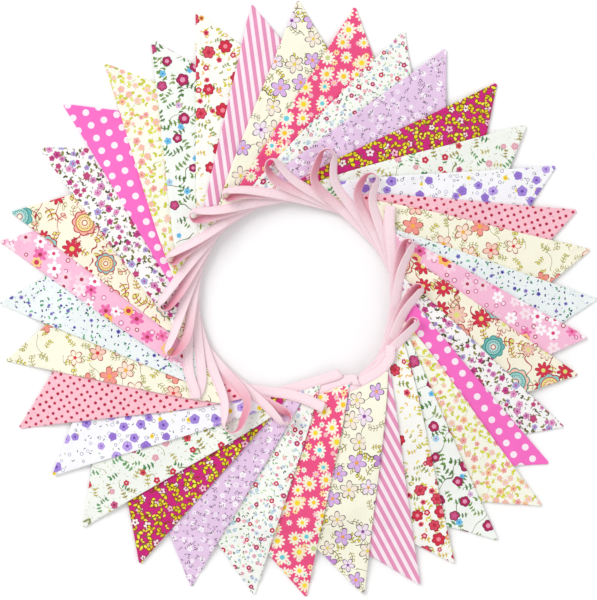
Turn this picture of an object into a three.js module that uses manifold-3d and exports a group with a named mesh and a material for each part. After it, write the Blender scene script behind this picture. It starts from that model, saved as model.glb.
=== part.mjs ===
// Fabric bunting: thirty-six double cotton pennants sewn along one folded bias tape,
// laid out in a ring with every pennant lapped over the one before it.
// Millimetres, +Z up, origin on the floor under the middle of the ring's outline.

import * as THREE from 'three';
import { mergeVertices } from 'three/addons/utils/BufferGeometryUtils.js';
import Module from 'manifold-3d';

const wasm = await Module();
wasm.setup();

// Cut sizes
const pennantWidth = 192;
const clothThick = 1.0;
const tipWidth = 2.4;
const sideBow = 1.1;
const tapeWidth = 10;
const tapeThick = 1.0;
const seamGap = 0.3;

// How the layers lie: each pennant and its stretch of tape adds one lift to what lies over it
const liftMean = 2.25;
const liftVaries = 0.08;
const layersBelow = 17;
const rings = [
  { radius: 56, spokes: 30 },
  { radius: 82, spokes: 30 },
  { radius: 108, spokes: 30 },
  { radius: 140, spokes: 30 },
  { radius: 180, spokes: 60 },
  { radius: 224, spokes: 60 },
  { radius: 252, spokes: 60 },
  { radius: 272, spokes: 60 },
  { radius: 288, spokes: 60 },
  { radius: 345, spokes: 60 },
];

// Tape between two pennants
const headerSteps = 12;
const rampLength = 16;
const hairpinGap = 16;
const hairpinPast = 14;
const loopBank = 48;
const foldBulge = 1.5;

// Where the middle of the hole lies from the origin
const holeX = -3.06;
const holeY = -0.48;

// Pennants clockwise from the top: the tip's bearing in degrees and reach from the hole's middle,
// the lean of the pennant's middle line off the radius, and its length from tape to tip
const pennants = [
  { cloth: 'creamLilac', bearing: 0.5, reach: 298, lean: 5.2, length: 189 },
  { cloth: 'daisy', bearing: 11.5, reach: 297, lean: 5.3, length: 188 },
  { cloth: 'tinyMulti', bearing: 22, reach: 289, lean: 4.3, length: 184 },
  { cloth: 'lilacDitsy', bearing: 31, reach: 291, lean: 4.1, length: 185 },
  { cloth: 'magentaYellow', bearing: 43, reach: 294, lean: 5.2, length: 187 },
  { cloth: 'paleSprays', bearing: 53, reach: 288, lean: 4.6, length: 184 },
  { cloth: 'purpleRoses', bearing: 63, reach: 291, lean: 3.4, length: 186 },
  { cloth: 'pinkDots', bearing: 72.5, reach: 294, lean: 4.4, length: 187 },
  { cloth: 'creamRed', bearing: 80.5, reach: 298, lean: 3.6, length: 189 },
  { cloth: 'blueDitsy', bearing: 90, reach: 301, lean: 7.4, length: 190 },
  { cloth: 'pinkRetro', bearing: 97.5, reach: 293, lean: 5.4, length: 186 },
  { cloth: 'folkFlower', bearing: 105, reach: 291, lean: 7.1, length: 184 },
  { cloth: 'tinyRoses', bearing: 115.5, reach: 296, lean: 8.8, length: 186 },
  { cloth: 'polka', bearing: 123, reach: 301, lean: 9.8, length: 189 },
  { cloth: 'yellowFloral', bearing: 130, reach: 320, lean: 11.3, length: 199 },
  { cloth: 'roseVine', bearing: 140, reach: 313, lean: 9.6, length: 196 },
  { cloth: 'redRose', bearing: 149, reach: 307, lean: 7.2, length: 194 },
  { cloth: 'stripe', bearing: 156.5, reach: 310, lean: 10.3, length: 194 },
  { cloth: 'creamLilac', bearing: 167, reach: 302, lean: 6.4, length: 191 },
  { cloth: 'daisy', bearing: 178, reach: 297, lean: 12.6, length: 187 },
  { cloth: 'tinyMulti', bearing: 188, reach: 298, lean: 16.4, length: 188 },
  { cloth: 'lilacDitsy', bearing: 200, reach: 305, lean: 15.7, length: 188 },
  { cloth: 'magentaYellow', bearing: 210.5, reach: 306, lean: 15.0, length: 188 },
  { cloth: 'paleSprays', bearing: 223, reach: 311, lean: 8.7, length: 196 },
  { cloth: 'purpleRoses', bearing: 234, reach: 299, lean: 7.3, length: 189 },
  { cloth: 'pinkDots', bearing: 245, reach: 304, lean: 7.6, length: 192 },
  { cloth: 'creamRed', bearing: 258, reach: 295, lean: 2.8, length: 188 },
  { cloth: 'blueDitsy', bearing: 269, reach: 295, lean: 3.2, length: 188 },
  { cloth: 'pinkRetro', bearing: 281, reach: 300, lean: 1.8, length: 191 },
  { cloth: 'folkFlower', bearing: 287, reach: 296, lean: 6.6, length: 187 },
  { cloth: 'tinyRoses', bearing: 300.5, reach: 297, lean: 3.6, length: 189 },
  { cloth: 'polka', bearing: 310, reach: 302, lean: 7.2, length: 191 },
  { cloth: 'yellowFloral', bearing: 321, reach: 302, lean: 4.4, length: 192 },
  { cloth: 'roseVine', bearing: 331, reach: 296, lean: 4.0, length: 188 },
  { cloth: 'redRose', bearing: 341, reach: 304, lean: 7.2, length: 192 },
  { cloth: 'stripe', bearing: 351.5, reach: 297, lean: 5.0, length: 188 },
];

// Slack of the tape between a pennant and the next one, brought round in a loop on top:
// bearing and radius of the loop's end, its strands' spacing, whether it is folded flat,
// and whether it rises before the pennant's corner instead of after it
const loops = [
  { after: 22, bearing: 166, radius: 111, gap: 0, folded: true, early: false },
  { after: 24, bearing: 182.5, radius: 123, gap: 14, folded: false, early: false },
  { after: 26, bearing: 206, radius: 148, gap: 20, folded: false, early: true },
  { after: 28, bearing: 225.5, radius: 139, gap: 0, folded: true, early: false },
  { after: 30, bearing: 246, radius: 139, gap: 13, folded: false, early: true },
  { after: 32, bearing: 265.5, radius: 134, gap: 13, folded: false, early: false },
  { after: 34, bearing: 288, radius: 129, gap: 13, folded: false, early: false },
  { after: 36, bearing: 308, radius: 134, gap: 14, folded: false, early: false },
  { after: 2, bearing: 324.5, radius: 125, gap: 13, folded: false, early: false },
  { after: 4, bearing: 349, radius: 141, gap: 19, folded: false, early: true },
  { after: 6, bearing: 12.5, radius: 153, gap: 13, folded: false, early: true },
  { after: 8, bearing: 32, radius: 147, gap: 13, folded: false, early: true },
  { after: 10, bearing: 46, radius: 131, gap: 0, folded: true, early: false },
  { after: 12, bearing: 62.5, radius: 129, gap: 13, folded: false, early: false },
  { after: 14, bearing: 83.5, radius: 126, gap: 13, folded: false, early: false },
  { after: 16, bearing: 99, radius: 122, gap: 13, folded: false, early: false },
  { after: 18, bearing: 117, radius: 106, gap: 0, folded: true, early: false },
];

// The tape's two cut ends, by the pennant each one leaves
const tails = [
  { leaves: 21, bearing: 148.5, radius: 86, heading: 34 },
  { leaves: 20, bearing: 142.5, radius: 103, heading: 27 },
];

const clothLooks = {
  creamLilac: { color: 0xefe3d6, roughness: 0.88 },
  daisy: { color: 0xea7f9f, roughness: 0.88 },
  tinyMulti: { color: 0xe9e6de, roughness: 0.88 },
  lilacDitsy: { color: 0xdcb3da, roughness: 0.88 },
  magentaYellow: { color: 0xc24d5e, roughness: 0.88 },
  paleSprays: { color: 0xe2e4d6, roughness: 0.88 },
  purpleRoses: { color: 0xe2dcee, roughness: 0.88 },
  pinkDots: { color: 0xe9899f, roughness: 0.88 },
  creamRed: { color: 0xeed6bd, roughness: 0.88 },
  blueDitsy: { color: 0xd3dce2, roughness: 0.88 },
  pinkRetro: { color: 0xf0a9c3, roughness: 0.88 },
  folkFlower: { color: 0xe0cdbb, roughness: 0.88 },
  tinyRoses: { color: 0xe6dde0, roughness: 0.88 },
  polka: { color: 0xf275c2, roughness: 0.88 },
  yellowFloral: { color: 0xebe5bf, roughness: 0.88 },
  roseVine: { color: 0xe0dfda, roughness: 0.88 },
  redRose: { color: 0xeadfd2, roughness: 0.88 },
  stripe: { color: 0xedb9d0, roughness: 0.88 },
  tape: { color: 0xf3cfd9, roughness: 0.8 },
};

const units = pennants.length;
const halfTape = tapeWidth / 2;
const rad = THREE.MathUtils.degToRad;

// A point of the plan from its bearing, clockwise from +Y, and its radius
function polar(bearing, radius) {
  return new THREE.Vector2(radius * Math.sin(rad(bearing)), radius * Math.cos(rad(bearing)));
}

function along(point, direction, distance) {
  return point.clone().addScaledVector(direction, distance);
}

function leftOf(direction) {
  return new THREE.Vector2(-direction.y, direction.x);
}

// Corners and directions of every pennant in plan
const plans = pennants.map((row) => {
  const tip = polar(row.bearing, row.reach);
  const inward = polar(row.bearing + 180 - row.lean, 1);
  const across = leftOf(inward);
  const middle = along(tip, inward, row.length);
  const first = along(middle, across, -pennantWidth / 2);
  const last = along(middle, across, pennantWidth / 2);
  return {
    tip,
    inward,
    across,
    first,
    last,
    tapeFirst: along(first, inward, seamGap + halfTape),
    tapeLast: along(last, inward, seamGap + halfTape),
  };
});

function outlineOf(plan) {
  const tipHalf = along(plan.tip, plan.across, tipWidth / 2);
  const tipOther = along(plan.tip, plan.across, -tipWidth / 2);
  const lastSide = plan.last.clone().lerp(tipHalf, 0.5);
  const firstSide = plan.first.clone().lerp(tipOther, 0.5);
  return [
    plan.first,
    plan.last,
    along(lastSide, plan.across, -sideBow),
    tipHalf,
    tipOther,
    along(firstSide, plan.across, sideBow),
  ];
}

// One stop along the tape: its middle, the direction across it, the two pennants whose levels
// it passes between, its bank, and whether the tape has been folded over
function stop(point, width, from, to, mix, bank, turned) {
  return { point, width, from, to, mix, bank, turned, fold: null };
}

// Stops along a gentle curve from one point and heading to another
function strand(start, startHeading, end, endHeading, count) {
  const reach = start.distanceTo(end) * 0.4;
  const curve = new THREE.CubicBezierCurve(
    start,
    along(start, startHeading, reach),
    along(end, endHeading, -reach),
    end,
  );
  const list = [];
  for (let i = 1; i <= count; i += 1) {
    list.push({ point: curve.getPoint(i / count), heading: curve.getTangent(i / count) });
  }
  return list;
}

const stops = [];
let turned = false;

function addStop(point, heading, from, to, mix, bank) {
  const width = leftOf(heading).multiplyScalar(turned ? -1 : 1);
  stops.push(stop(point, width, from, to, mix, bank, turned));
}

// The stretch of tape that binds one pennant, walked clockwise, or back and up to the next level
function addHeader(unit, clockwise, highUnit) {
  const plan = plans[unit];
  const start = clockwise ? plan.tapeFirst : plan.tapeLast;
  const heading = plan.across.clone().multiplyScalar(clockwise ? 1 : -1);
  for (let i = 0; i <= headerSteps; i += 1) {
    const travelled = (pennantWidth * i) / headerSteps;
    const rise = highUnit === unit ? 0 : Math.max(0, 1 - (pennantWidth - travelled) / rampLength);
    addStop(along(start, heading, travelled), heading, unit, highUnit, rise, 0);
  }
}

// Slack under the clockwise ends, turned back flat between the layers
function addHairpin(lower, upper) {
  const lowPlan = plans[lower];
  const upPlan = plans[upper];
  const outward = upPlan.inward.clone().negate();
  const inner = along(upPlan.tapeLast, upPlan.across, hairpinPast);
  const centre = along(inner, outward, hairpinGap / 2);
  const outer = along(inner, outward, hairpinGap);
  const heading = upPlan.across;
  for (const step of strand(lowPlan.tapeLast, lowPlan.across, outer, heading, 3)) {
    addStop(step.point, step.heading, lower, lower, 0, 0);
  }
  for (const angle of [36, 72, 108, 144, 180]) {
    const side = along(centre, outward, (hairpinGap / 2) * Math.cos(rad(angle)));
    const point = along(side, heading, (hairpinGap / 2) * Math.sin(rad(angle)));
    const turn = heading.clone().multiplyScalar(Math.cos(rad(angle)));
    turn.addScaledVector(outward, -Math.sin(rad(angle)));
    addStop(point, turn, lower, upper, Math.max(0, angle - 72) / 108, 0);
  }
}

// Slack over the other ends: an open loop banked on its edge, or one folded flat on itself
function addLoop(lower, upper) {
  const row = loops.find((entry) => entry.after === lower + 1);
  const end = polar(row.bearing, row.radius);
  const start = plans[lower].tapeFirst;
  const finish = plans[upper].tapeFirst;
  const startHeading = plans[lower].across.clone().negate();
  const middle = start.clone().add(finish).multiplyScalar(0.5);
  const heading = end.clone().sub(middle).normalize();
  if (row.folded) {
    for (const step of strand(start, startHeading, end, heading, 3)) {
      addStop(step.point, step.heading, lower, lower, 0, 0);
    }
    addStop(end, heading, lower, upper, 0.5, 0);
    stops[stops.length - 1].fold = heading;
    turned = !turned;
    addStop(end, heading.clone().negate(), upper, upper, 0, 0);
    for (const step of strand(end, heading.clone().negate(), finish, plans[upper].across, 4).slice(0, -1)) {
      addStop(step.point, step.heading, upper, upper, 0, 0);
    }
    return;
  }
  const outward = leftOf(heading);
  if (outward.dot(end) < 0) {
    outward.negate();
  }
  const centre = along(end, heading, -(row.gap / 2 + halfTape * Math.cos(rad(loopBank))));
  const inner = along(centre, outward, -row.gap / 2);
  const shift = Math.max(0, 5 - inner.clone().sub(start).dot(heading));
  centre.addScaledVector(heading, shift);
  inner.addScaledVector(heading, shift);
  const outer = along(inner, outward, row.gap);
  const raised = turned ? 1 : -1;
  const bend = rad(loopBank) * raised;
  strand(start, startHeading, inner, heading, 2).forEach((step, i) => {
    addStop(step.point, step.heading, lower, upper, row.early ? 1 : 0.2 * (i + 1), bend * (0.1 + 0.2 * i));
  });
  for (const angle of [22, 45, 68, 90, 112, 135, 158, 180]) {
    const side = along(centre, outward, (-row.gap / 2) * Math.cos(rad(angle)));
    const point = along(side, heading, (row.gap / 2) * Math.sin(rad(angle)));
    const turn = heading.clone().multiplyScalar(Math.cos(rad(angle)));
    turn.addScaledVector(outward, Math.sin(rad(angle)));
    const rise = row.early ? 1 : Math.min(1, 0.4 + angle / 112);
    addStop(point, turn, lower, upper, rise, bend * (0.3 + 0.7 * Math.sin(rad(angle))));
  }
  for (const step of strand(outer, heading.clone().negate(), finish, plans[upper].across, 4).slice(0, -1)) {
    addStop(step.point, step.heading, upper, upper, 0, 0);
  }
}

// A cut end beyond its pennant's corner
function tailStops(row) {
  const unit = row.leaves - 1;
  const end = polar(row.bearing, row.radius);
  const heading = new THREE.Vector2(Math.cos(rad(row.heading)), Math.sin(rad(row.heading)));
  const start = plans[unit].tapeFirst;
  return strand(start, plans[unit].across.clone().negate(), end, heading, 4);
}

// The whole tape: tail, header, hairpin, header, loop, and so on round to the other tail
for (const step of tailStops(tails[0]).reverse()) {
  addStop(step.point, step.heading.clone().negate(), tails[0].leaves - 1, tails[0].leaves - 1, 0, 0);
}
for (let i = 0; i < units; i += 1) {
  const unit = (tails[0].leaves - 1 + i) % units;
  const next = (unit + 1) % units;
  if (i % 2 === 0) {
    addHeader(unit, true, unit);
    addHairpin(unit, next);
  } else {
    const row = loops.find((entry) => entry.after === unit + 1);
    addHeader(unit, false, row !== undefined && row.early ? next : unit);
    if (row !== undefined) {
      addLoop(unit, next);
    }
  }
}
for (const step of tailStops(tails[1])) {
  addStop(step.point, step.heading, tails[1].leaves - 1, tails[1].leaves - 1, 0, 0);
}

// The shared net: nodes on rings of spokes, joined into flat facets that every layer follows
const nodes = [];
const firstNode = rings.map((ring) => {
  const start = nodes.length;
  for (let spoke = 0; spoke < ring.spokes; spoke += 1) {
    nodes.push(polar((spoke * 360) / ring.spokes, ring.radius));
  }
  return start;
});

function nodeAt(ring, spoke) {
  return firstNode[ring] + (spoke % rings[ring].spokes);
}

const bands = rings.slice(0, -1).map((inner, ring) => {
  const ratio = rings[ring + 1].spokes / inner.spokes;
  const cells = [];
  for (let spoke = 0; spoke < inner.spokes; spoke += 1) {
    const a = nodeAt(ring, spoke);
    const b = nodeAt(ring, spoke + 1);
    const c = nodeAt(ring + 1, spoke * ratio);
    const d = nodeAt(ring + 1, spoke * ratio + 1);
    if (ratio === 1) {
      cells.push([[a, d, b], [a, c, d]]);
    } else {
      const e = nodeAt(ring + 1, spoke * ratio + 2);
      cells.push([[a, c, d], [a, d, b], [b, d, e]]);
    }
  }
  return cells;
});

function crossOf(a, b, x, y) {
  return (b.x - a.x) * (y - a.y) - (b.y - a.y) * (x - a.x);
}

// The facet that a plan point lies in, with its three weights
function facetAt(x, y) {
  const bearing = (THREE.MathUtils.radToDeg(Math.atan2(x, y)) + 360) % 360;
  const radius = Math.hypot(x, y);
  let best = { least: -Infinity };
  for (let ring = 0; ring < bands.length; ring += 1) {
    if (radius < rings[ring].radius * 0.98 || radius > rings[ring + 1].radius) {
      continue;
    }
    const cell = Math.min(rings[ring].spokes - 1, Math.floor((bearing * rings[ring].spokes) / 360));
    for (const facet of bands[ring][cell]) {
      const [a, b, c] = facet.map((node) => nodes[node]);
      const area = crossOf(a, b, c.x, c.y);
      const weights = [crossOf(b, c, x, y) / area, crossOf(c, a, x, y) / area, crossOf(a, b, x, y) / area];
      const least = Math.min(...weights);
      if (least > best.least) {
        best = { least, facet, weights };
      }
    }
  }
  return best;
}

const facets = bands.flat(2);
const facetNumbers = new Map(facets.map((facet, i) => [facet, i]));
const facetsAround = nodes.map(() => []);
facets.forEach((facet, i) => facet.forEach((node) => facetsAround[node].push(i)));

// Which facets of the net each pennant and its tape touch
const touched = plans.map(() => new Uint8Array(facets.length));

function touch(unit, x, y) {
  touched[unit][facetNumbers.get(facetAt(x, y).facet)] = 1;
}

plans.forEach((plan, unit) => {
  const steps = 60;
  for (let i = 0; i <= steps; i += 1) {
    const left = plan.first.clone().lerp(plan.tip, i / steps);
    const right = plan.last.clone().lerp(plan.tip, i / steps);
    for (let j = 0; j <= steps; j += 1) {
      const point = left.clone().lerp(right, j / steps);
      touch(unit, point.x, point.y);
    }
  }
});
stops.forEach((entry, i) => {
  const next = stops[Math.min(i + 1, stops.length - 1)];
  for (let j = 0; j < 4; j += 1) {
    const point = entry.point.clone().lerp(next.point, j / 4);
    for (const side of [-halfTape, 0, halfTape]) {
      const x = point.x + entry.width.x * side;
      const y = point.y + entry.width.y * side;
      touch(entry.from, x, y);
      touch(entry.to, x, y);
    }
  }
});

// Height of every node for each pennant: one lift above the layers that it shares a facet with
const lifts = plans.map((plan, unit) => liftMean * (1 + liftVaries * Math.sin(unit * 2.4)));
const levels = plans.map(() => new Float64Array(nodes.length).fill(-1));

function levelOf(unit, node) {
  if (levels[unit][node] < 0) {
    let height = 0;
    for (let below = 1; below <= layersBelow; below += 1) {
      const other = (unit - below + units) % units;
      if (facetsAround[node].some((facet) => touched[unit][facet] && touched[other][facet])) {
        height = Math.max(height, levelOf(other, node) + lifts[other]);
      }
    }
    levels[unit][node] = height;
  }
  return levels[unit][node];
}

plans.forEach((plan, unit) => nodes.forEach((point, node) => levelOf(unit, node)));

// Height of a pennant's layer at any plan point, read from the net's facets
function heightAt(unit, x, y) {
  const { facet, weights } = facetAt(x, y);
  return facet.reduce((sum, node, i) => sum + weights[i] * levels[unit][node], 0);
}

// A closed solid from points and triangles, or from a ready geometry
function solidOf(positions, indices) {
  return new wasm.Manifold(new wasm.Mesh({
    numProp: 3,
    vertProperties: new Float32Array(positions),
    triVerts: new Uint32Array(indices),
  }));
}

function solidOfGeometry(geometry) {
  geometry.deleteAttribute('normal');
  geometry.deleteAttribute('uv');
  const merged = mergeVertices(geometry, 1e-4);
  return solidOf(merged.attributes.position.array, merged.index.array);
}

function geometryOf(solid) {
  const mesh = solid.getMesh();
  const geometry = new THREE.BufferGeometry();
  geometry.setAttribute('position', new THREE.BufferAttribute(mesh.vertProperties, 3));
  geometry.setIndex(new THREE.BufferAttribute(mesh.triVerts, 1));
  geometry.computeVertexNormals();
  return geometry;
}

// One pennant: a block of the net's facets at that layer's heights, cut to the pennant's outline
function pennantSolid(plan, unit) {
  const outline = outlineOf(plan);
  const reached = facets.filter((facet) => {
    return facet.every((node) => nodes[node].distanceTo(plan.tip) < pennantWidth * 1.5);
  });
  const places = new Map();
  const positions = [];
  const edges = new Map();
  for (const facet of reached) {
    facet.forEach((node, i) => {
      if (!places.has(node)) {
        places.set(node, places.size);
        positions.push(nodes[node].x, nodes[node].y, levels[unit][node]);
      }
      edges.set(`${node} ${facet[(i + 1) % 3]}`, [node, facet[(i + 1) % 3]]);
    });
  }
  const upper = places.size;
  for (const node of places.keys()) {
    positions.push(nodes[node].x, nodes[node].y, levels[unit][node] + clothThick);
  }
  const indices = [];
  for (const facet of reached) {
    const [a, b, c] = facet.map((node) => places.get(node));
    indices.push(a, b, c, upper + a, upper + c, upper + b);
  }
  for (const [from, to] of edges.values()) {
    if (!edges.has(`${to} ${from}`)) {
      const a = places.get(from);
      const b = places.get(to);
      indices.push(b, a, upper + a, b, upper + a, upper + b);
    }
  }
  const cutter = new THREE.ExtrudeGeometry(new THREE.Shape(outline), { depth: 80, bevelEnabled: false });
  cutter.translate(0, 0, -5);
  return solidOf(positions, indices).intersect(solidOfGeometry(cutter));
}

// The tape as one swept strip of four-cornered sections
function tapeGeometry() {
  const positions = [];
  for (const entry of stops) {
    const { point, width, bank } = entry;
    const base = (x, y) => THREE.MathUtils.lerp(
      heightAt(entry.from, x, y),
      heightAt(entry.to, x, y),
      entry.mix,
    );
    const corners = [1, -1].map((side) => {
      const out = side * halfTape * Math.cos(bank);
      const x = point.x + width.x * out;
      const y = point.y + width.y * out;
      const z = base(x, y) + halfTape * (Math.abs(Math.sin(bank)) + side * Math.sin(bank));
      const lean = -tapeThick * Math.sin(bank);
      return [
        new THREE.Vector3(x, y, z),
        new THREE.Vector3(x + width.x * lean, y + width.y * lean, z + tapeThick * Math.cos(bank)),
      ];
    });
    if (entry.fold !== null) {
      for (const pair of corners) {
        pair[1].copy(pair[0]);
        pair[0].x += entry.fold.x * foldBulge;
        pair[0].y += entry.fold.y * foldBulge;
        pair[1].x += entry.fold.x * (foldBulge - tapeThick);
        pair[1].y += entry.fold.y * (foldBulge - tapeThick);
        pair[0].z += tapeThick / 2;
        pair[1].z += tapeThick / 2;
      }
    }
    const [near, far] = corners.map((pair) => (entry.turned ? [pair[1], pair[0]] : pair));
    for (const corner of [near[0], near[1], far[1], far[0]]) {
      positions.push(corner.x, corner.y, corner.z);
    }
  }
  const indices = [];
  for (let i = 0; i < stops.length - 1; i += 1) {
    for (let side = 0; side < 4; side += 1) {
      const a = i * 4 + side;
      const b = i * 4 + ((side + 1) % 4);
      indices.push(a, b, b + 4, a, b + 4, a + 4);
    }
  }
  const last = (stops.length - 1) * 4;
  indices.push(0, 2, 1, 0, 3, 2);
  indices.push(last, last + 1, last + 2, last, last + 2, last + 3);
  const geometry = new THREE.BufferGeometry();
  geometry.setAttribute('position', new THREE.Float32BufferAttribute(positions, 3));
  geometry.setIndex(indices);
  geometry.computeVertexNormals();
  return geometry;
}

function materialOf(name) {
  const look = clothLooks[name];
  return new THREE.MeshStandardMaterial({ name, color: look.color, roughness: look.roughness, metalness: 0 });
}

const bunting = new THREE.Group();
bunting.position.set(holeX, holeY, 0);

plans.forEach((plan, unit) => {
  const mesh = new THREE.Mesh(geometryOf(pennantSolid(plan, unit)), materialOf(pennants[unit].cloth));
  mesh.name = `pennant_${String(unit + 1).padStart(2, '0')}`;
  bunting.add(mesh);
});

const tape = new THREE.Mesh(tapeGeometry(), materialOf('tape'));
tape.name = 'bias_tape';
bunting.add(tape);

export default bunting;
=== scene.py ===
import math

import bpy
import numpy as np
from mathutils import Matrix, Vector


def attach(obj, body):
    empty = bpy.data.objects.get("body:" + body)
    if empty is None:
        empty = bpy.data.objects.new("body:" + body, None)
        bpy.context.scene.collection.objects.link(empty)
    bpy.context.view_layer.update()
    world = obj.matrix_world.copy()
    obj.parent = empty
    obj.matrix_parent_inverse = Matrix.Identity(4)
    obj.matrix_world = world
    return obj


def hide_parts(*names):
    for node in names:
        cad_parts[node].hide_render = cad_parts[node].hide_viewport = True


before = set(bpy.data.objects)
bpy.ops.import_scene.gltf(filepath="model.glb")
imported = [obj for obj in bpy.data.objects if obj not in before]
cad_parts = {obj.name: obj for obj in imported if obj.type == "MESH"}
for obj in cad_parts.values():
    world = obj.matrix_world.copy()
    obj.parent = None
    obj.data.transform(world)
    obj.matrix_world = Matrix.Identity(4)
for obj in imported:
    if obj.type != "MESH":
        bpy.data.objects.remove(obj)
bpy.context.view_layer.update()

# The ring as it was laid out, in millimetres from the middle of the hole
layout = {
    "holeX": -3.06,
    "holeY": -0.48,
    "lift": 2.25,  # one pennant and its tape raise what lies over them by this much
    "liftVaries": 0.08,
    "liftTurn": 2.4,  # radians from one pennant to the next in the wave that varies it
    "layersBelow": 17,
    "rings": ((56, 30), (82, 30), (108, 30), (140, 30), (180, 60), (224, 60), (252, 60), (272, 60),
              (288, 60), (345, 60)),  # the net's rings: radius, nodes
    "ringSlack": 0.98,  # a place just inside a ring may be in a cell outside it
    "netSlack": -0.2,  # a place may be this much of a cell outside the net
    "probes": 61,  # places tried down and across a pennant, for the cells that it touches
    "sweeps": 24,  # most rounds of raising the layers
    "grid": 4.0,  # spacing of the height maps
    "reach": 352.0,
    "soften": 6.0,  # rounds off the net's facets
    "covered": 0.12,  # share of cover from which a map counts
    "apart": 1.5,  # least height from one layer to the next
    "apartSweeps": 3,
    "apartBelow": 10,
    "clear": 0.02,  # least height over the floor
}

pennantCut = {
    "width": 192.0,
    "tipWidth": 2.4,
    "tipLeast": 0.6,  # no row is narrower than this share of the tip
    "sideBow": 1.1,
    "slab": 1.0,  # the room each pennant has in its layer
    "thick": 0.62,
    "seamThick": 0.98,  # the turned seam allowance makes four layers along the sides
    "edgeSteps": ((0.0, 0.22), (0.3, 0.72), (0.9, 1.0), (5.4, 1.0), (6.6, 0.66)),  # distance in, share of it
    "edgeNarrows": 14.0,  # the steps draw together where half the pennant is narrower than this
    "tipSeam": 7.0,  # this near the tip the seams lie over each other
    "tipThicker": 0.2,
    "tipThins": (0.75, 0.25),  # most share of seamThick in the last two rows
    "tipRows": (1.2, 1.0, 0.35),  # distances of the last rows from the tip
    "columns": 40,
    "rows": 88,
    "tuckIn": 2.2,  # how far the top edge goes into the tape
    "bowReach": 90.0,  # the bend of its top edge has gone this far down
    "ripple": 0.34,
    "rippleWaves": 6,
    "rippleLength": 34.0,
    "rippleVaries": (0.6, 1.8),
    "rippleFades": 12.0,  # no ripple at the tape, and all of it from here down
    "creases": 4,  # soft creases on each pennant
    "creaseHeight": (0.25, 0.6),
    "creaseWidth": (2.4, 5.5),
    "creaseTurn": 0.5,
    "creasePlace": (0.25, 0.95),  # share of the way down
    "creaseOff": 30.0,  # how far to either side its middle may be
    "creaseReach": (20, 50),
    "printShift": 50.0,
    "printMiddle": 95.0,
    "seeds": {"ripple": 11, "crease": 700, "print": 400},
}

tapeCut = {
    "width": 10.0,
    "thick": 1.3,
    "gap": 0.3,
    "profile": ((1.0, 0.0), (0.97, 0.58), (0.86, 0.9), (0.45, 1.0), (-0.45, 1.0), (-0.86, 0.9),
                (-0.97, 0.58)),  # half of the section, in shares of half its width and thickness
    "step": 2.6,
    "handle": 0.4,  # length of a curve's handles, as a share of the distance
    "headerStops": 76,
    "rampLength": 16.0,  # an early loop rises to its upper layer over this much
    "bowFirst": 9.0,  # how far a pennant's tape bends in towards the hole at its two ends
    "bowLast": 3.0,
    "bowFolded": 4.0,
    "bowLess": 5.0,
    "foldPast": 20.0,  # the hidden folds between two pennants lie this far past them
    "foldTurn": 15,  # degrees from one section to the next
    "foldRadius": 0.4,  # least radius
    "leanFar": 62.0,  # distance from a loop at which the tape lies flat again
    "leanFalls": 1.5,
    "leanNear": 30.0,  # how it leans, in degrees, where a pennant starts,
    "leanLoop": 48.0,  # where a loop starts
    "leanEnd": 90.0,  # and at a loop's end
    "loopTurn": 9,
    "loopFlips": 99,  # past this angle the other face is up
    "loopStraight": 5.0,  # least length of a loop before its end
    "endStretch": 1.3,  # a loop's end is longer than half a circle
    "riseFirst": 0.4,  # share of the way up to the next layer where a loop's end starts
    "riseOver": 112,
    "easeMost": 60.0,  # the route is left as it is where it leans more than this,
    "easeOver": 22.0,  # and is eased fully this much below
    "easeSweeps": 36,
    "easeClear": 3,  # sections left as they are beside a fold and at both ends
    "flat": (0.0106, 8.86),  # half the way round its folded section, and its length, in metres
}

# Pennants clockwise from the top: cloth, the tip's bearing and reach, the lean off the radius, the length.
# Most of these numbers come from a separate program that measured the photo's outline.
pennants = (
    ("creamLilac", 0.5, 298, 5.2, 189), ("daisy", 11.5, 297, 5.3, 188), ("tinyMulti", 22, 289, 4.3, 184),
    ("lilacDitsy", 31, 291, 4.1, 185), ("magentaYellow", 43, 294, 5.2, 187),
    ("paleSprays", 53, 288, 4.6, 184), ("purpleRoses", 63, 291, 3.4, 186),
    ("pinkDots", 72.5, 294, 4.4, 187), ("creamRed", 80.5, 298, 3.6, 189), ("blueDitsy", 90, 301, 7.4, 190),
    ("pinkRetro", 97.5, 293, 5.4, 186), ("folkFlower", 105, 291, 7.1, 184),
    ("tinyRoses", 115.5, 296, 8.8, 186), ("polka", 123, 301, 9.8, 189),
    ("yellowFloral", 130, 320, 11.3, 199), ("roseVine", 140, 313, 9.6, 196),
    ("redRose", 149, 307, 7.2, 194), ("stripe", 156.5, 310, 10.3, 194), ("creamLilac", 167, 302, 6.4, 191),
    ("daisy", 178, 297, 12.6, 187), ("tinyMulti", 188, 298, 16.4, 188), ("lilacDitsy", 200, 305, 15.7, 188),
    ("magentaYellow", 210.5, 306, 15.0, 188), ("paleSprays", 223, 311, 8.7, 196),
    ("purpleRoses", 234, 299, 7.3, 189), ("pinkDots", 245, 304, 7.6, 192), ("creamRed", 258, 295, 2.8, 188),
    ("blueDitsy", 269, 295, 3.2, 188), ("pinkRetro", 281, 300, 1.8, 191),
    ("folkFlower", 287, 296, 6.6, 187), ("tinyRoses", 300.5, 297, 3.6, 189), ("polka", 310, 302, 7.2, 191),
    ("yellowFloral", 321, 302, 4.4, 192), ("roseVine", 331, 296, 4.0, 188), ("redRose", 341, 304, 7.2, 192),
    ("stripe", 351.5, 297, 5.0, 188),
)

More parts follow.
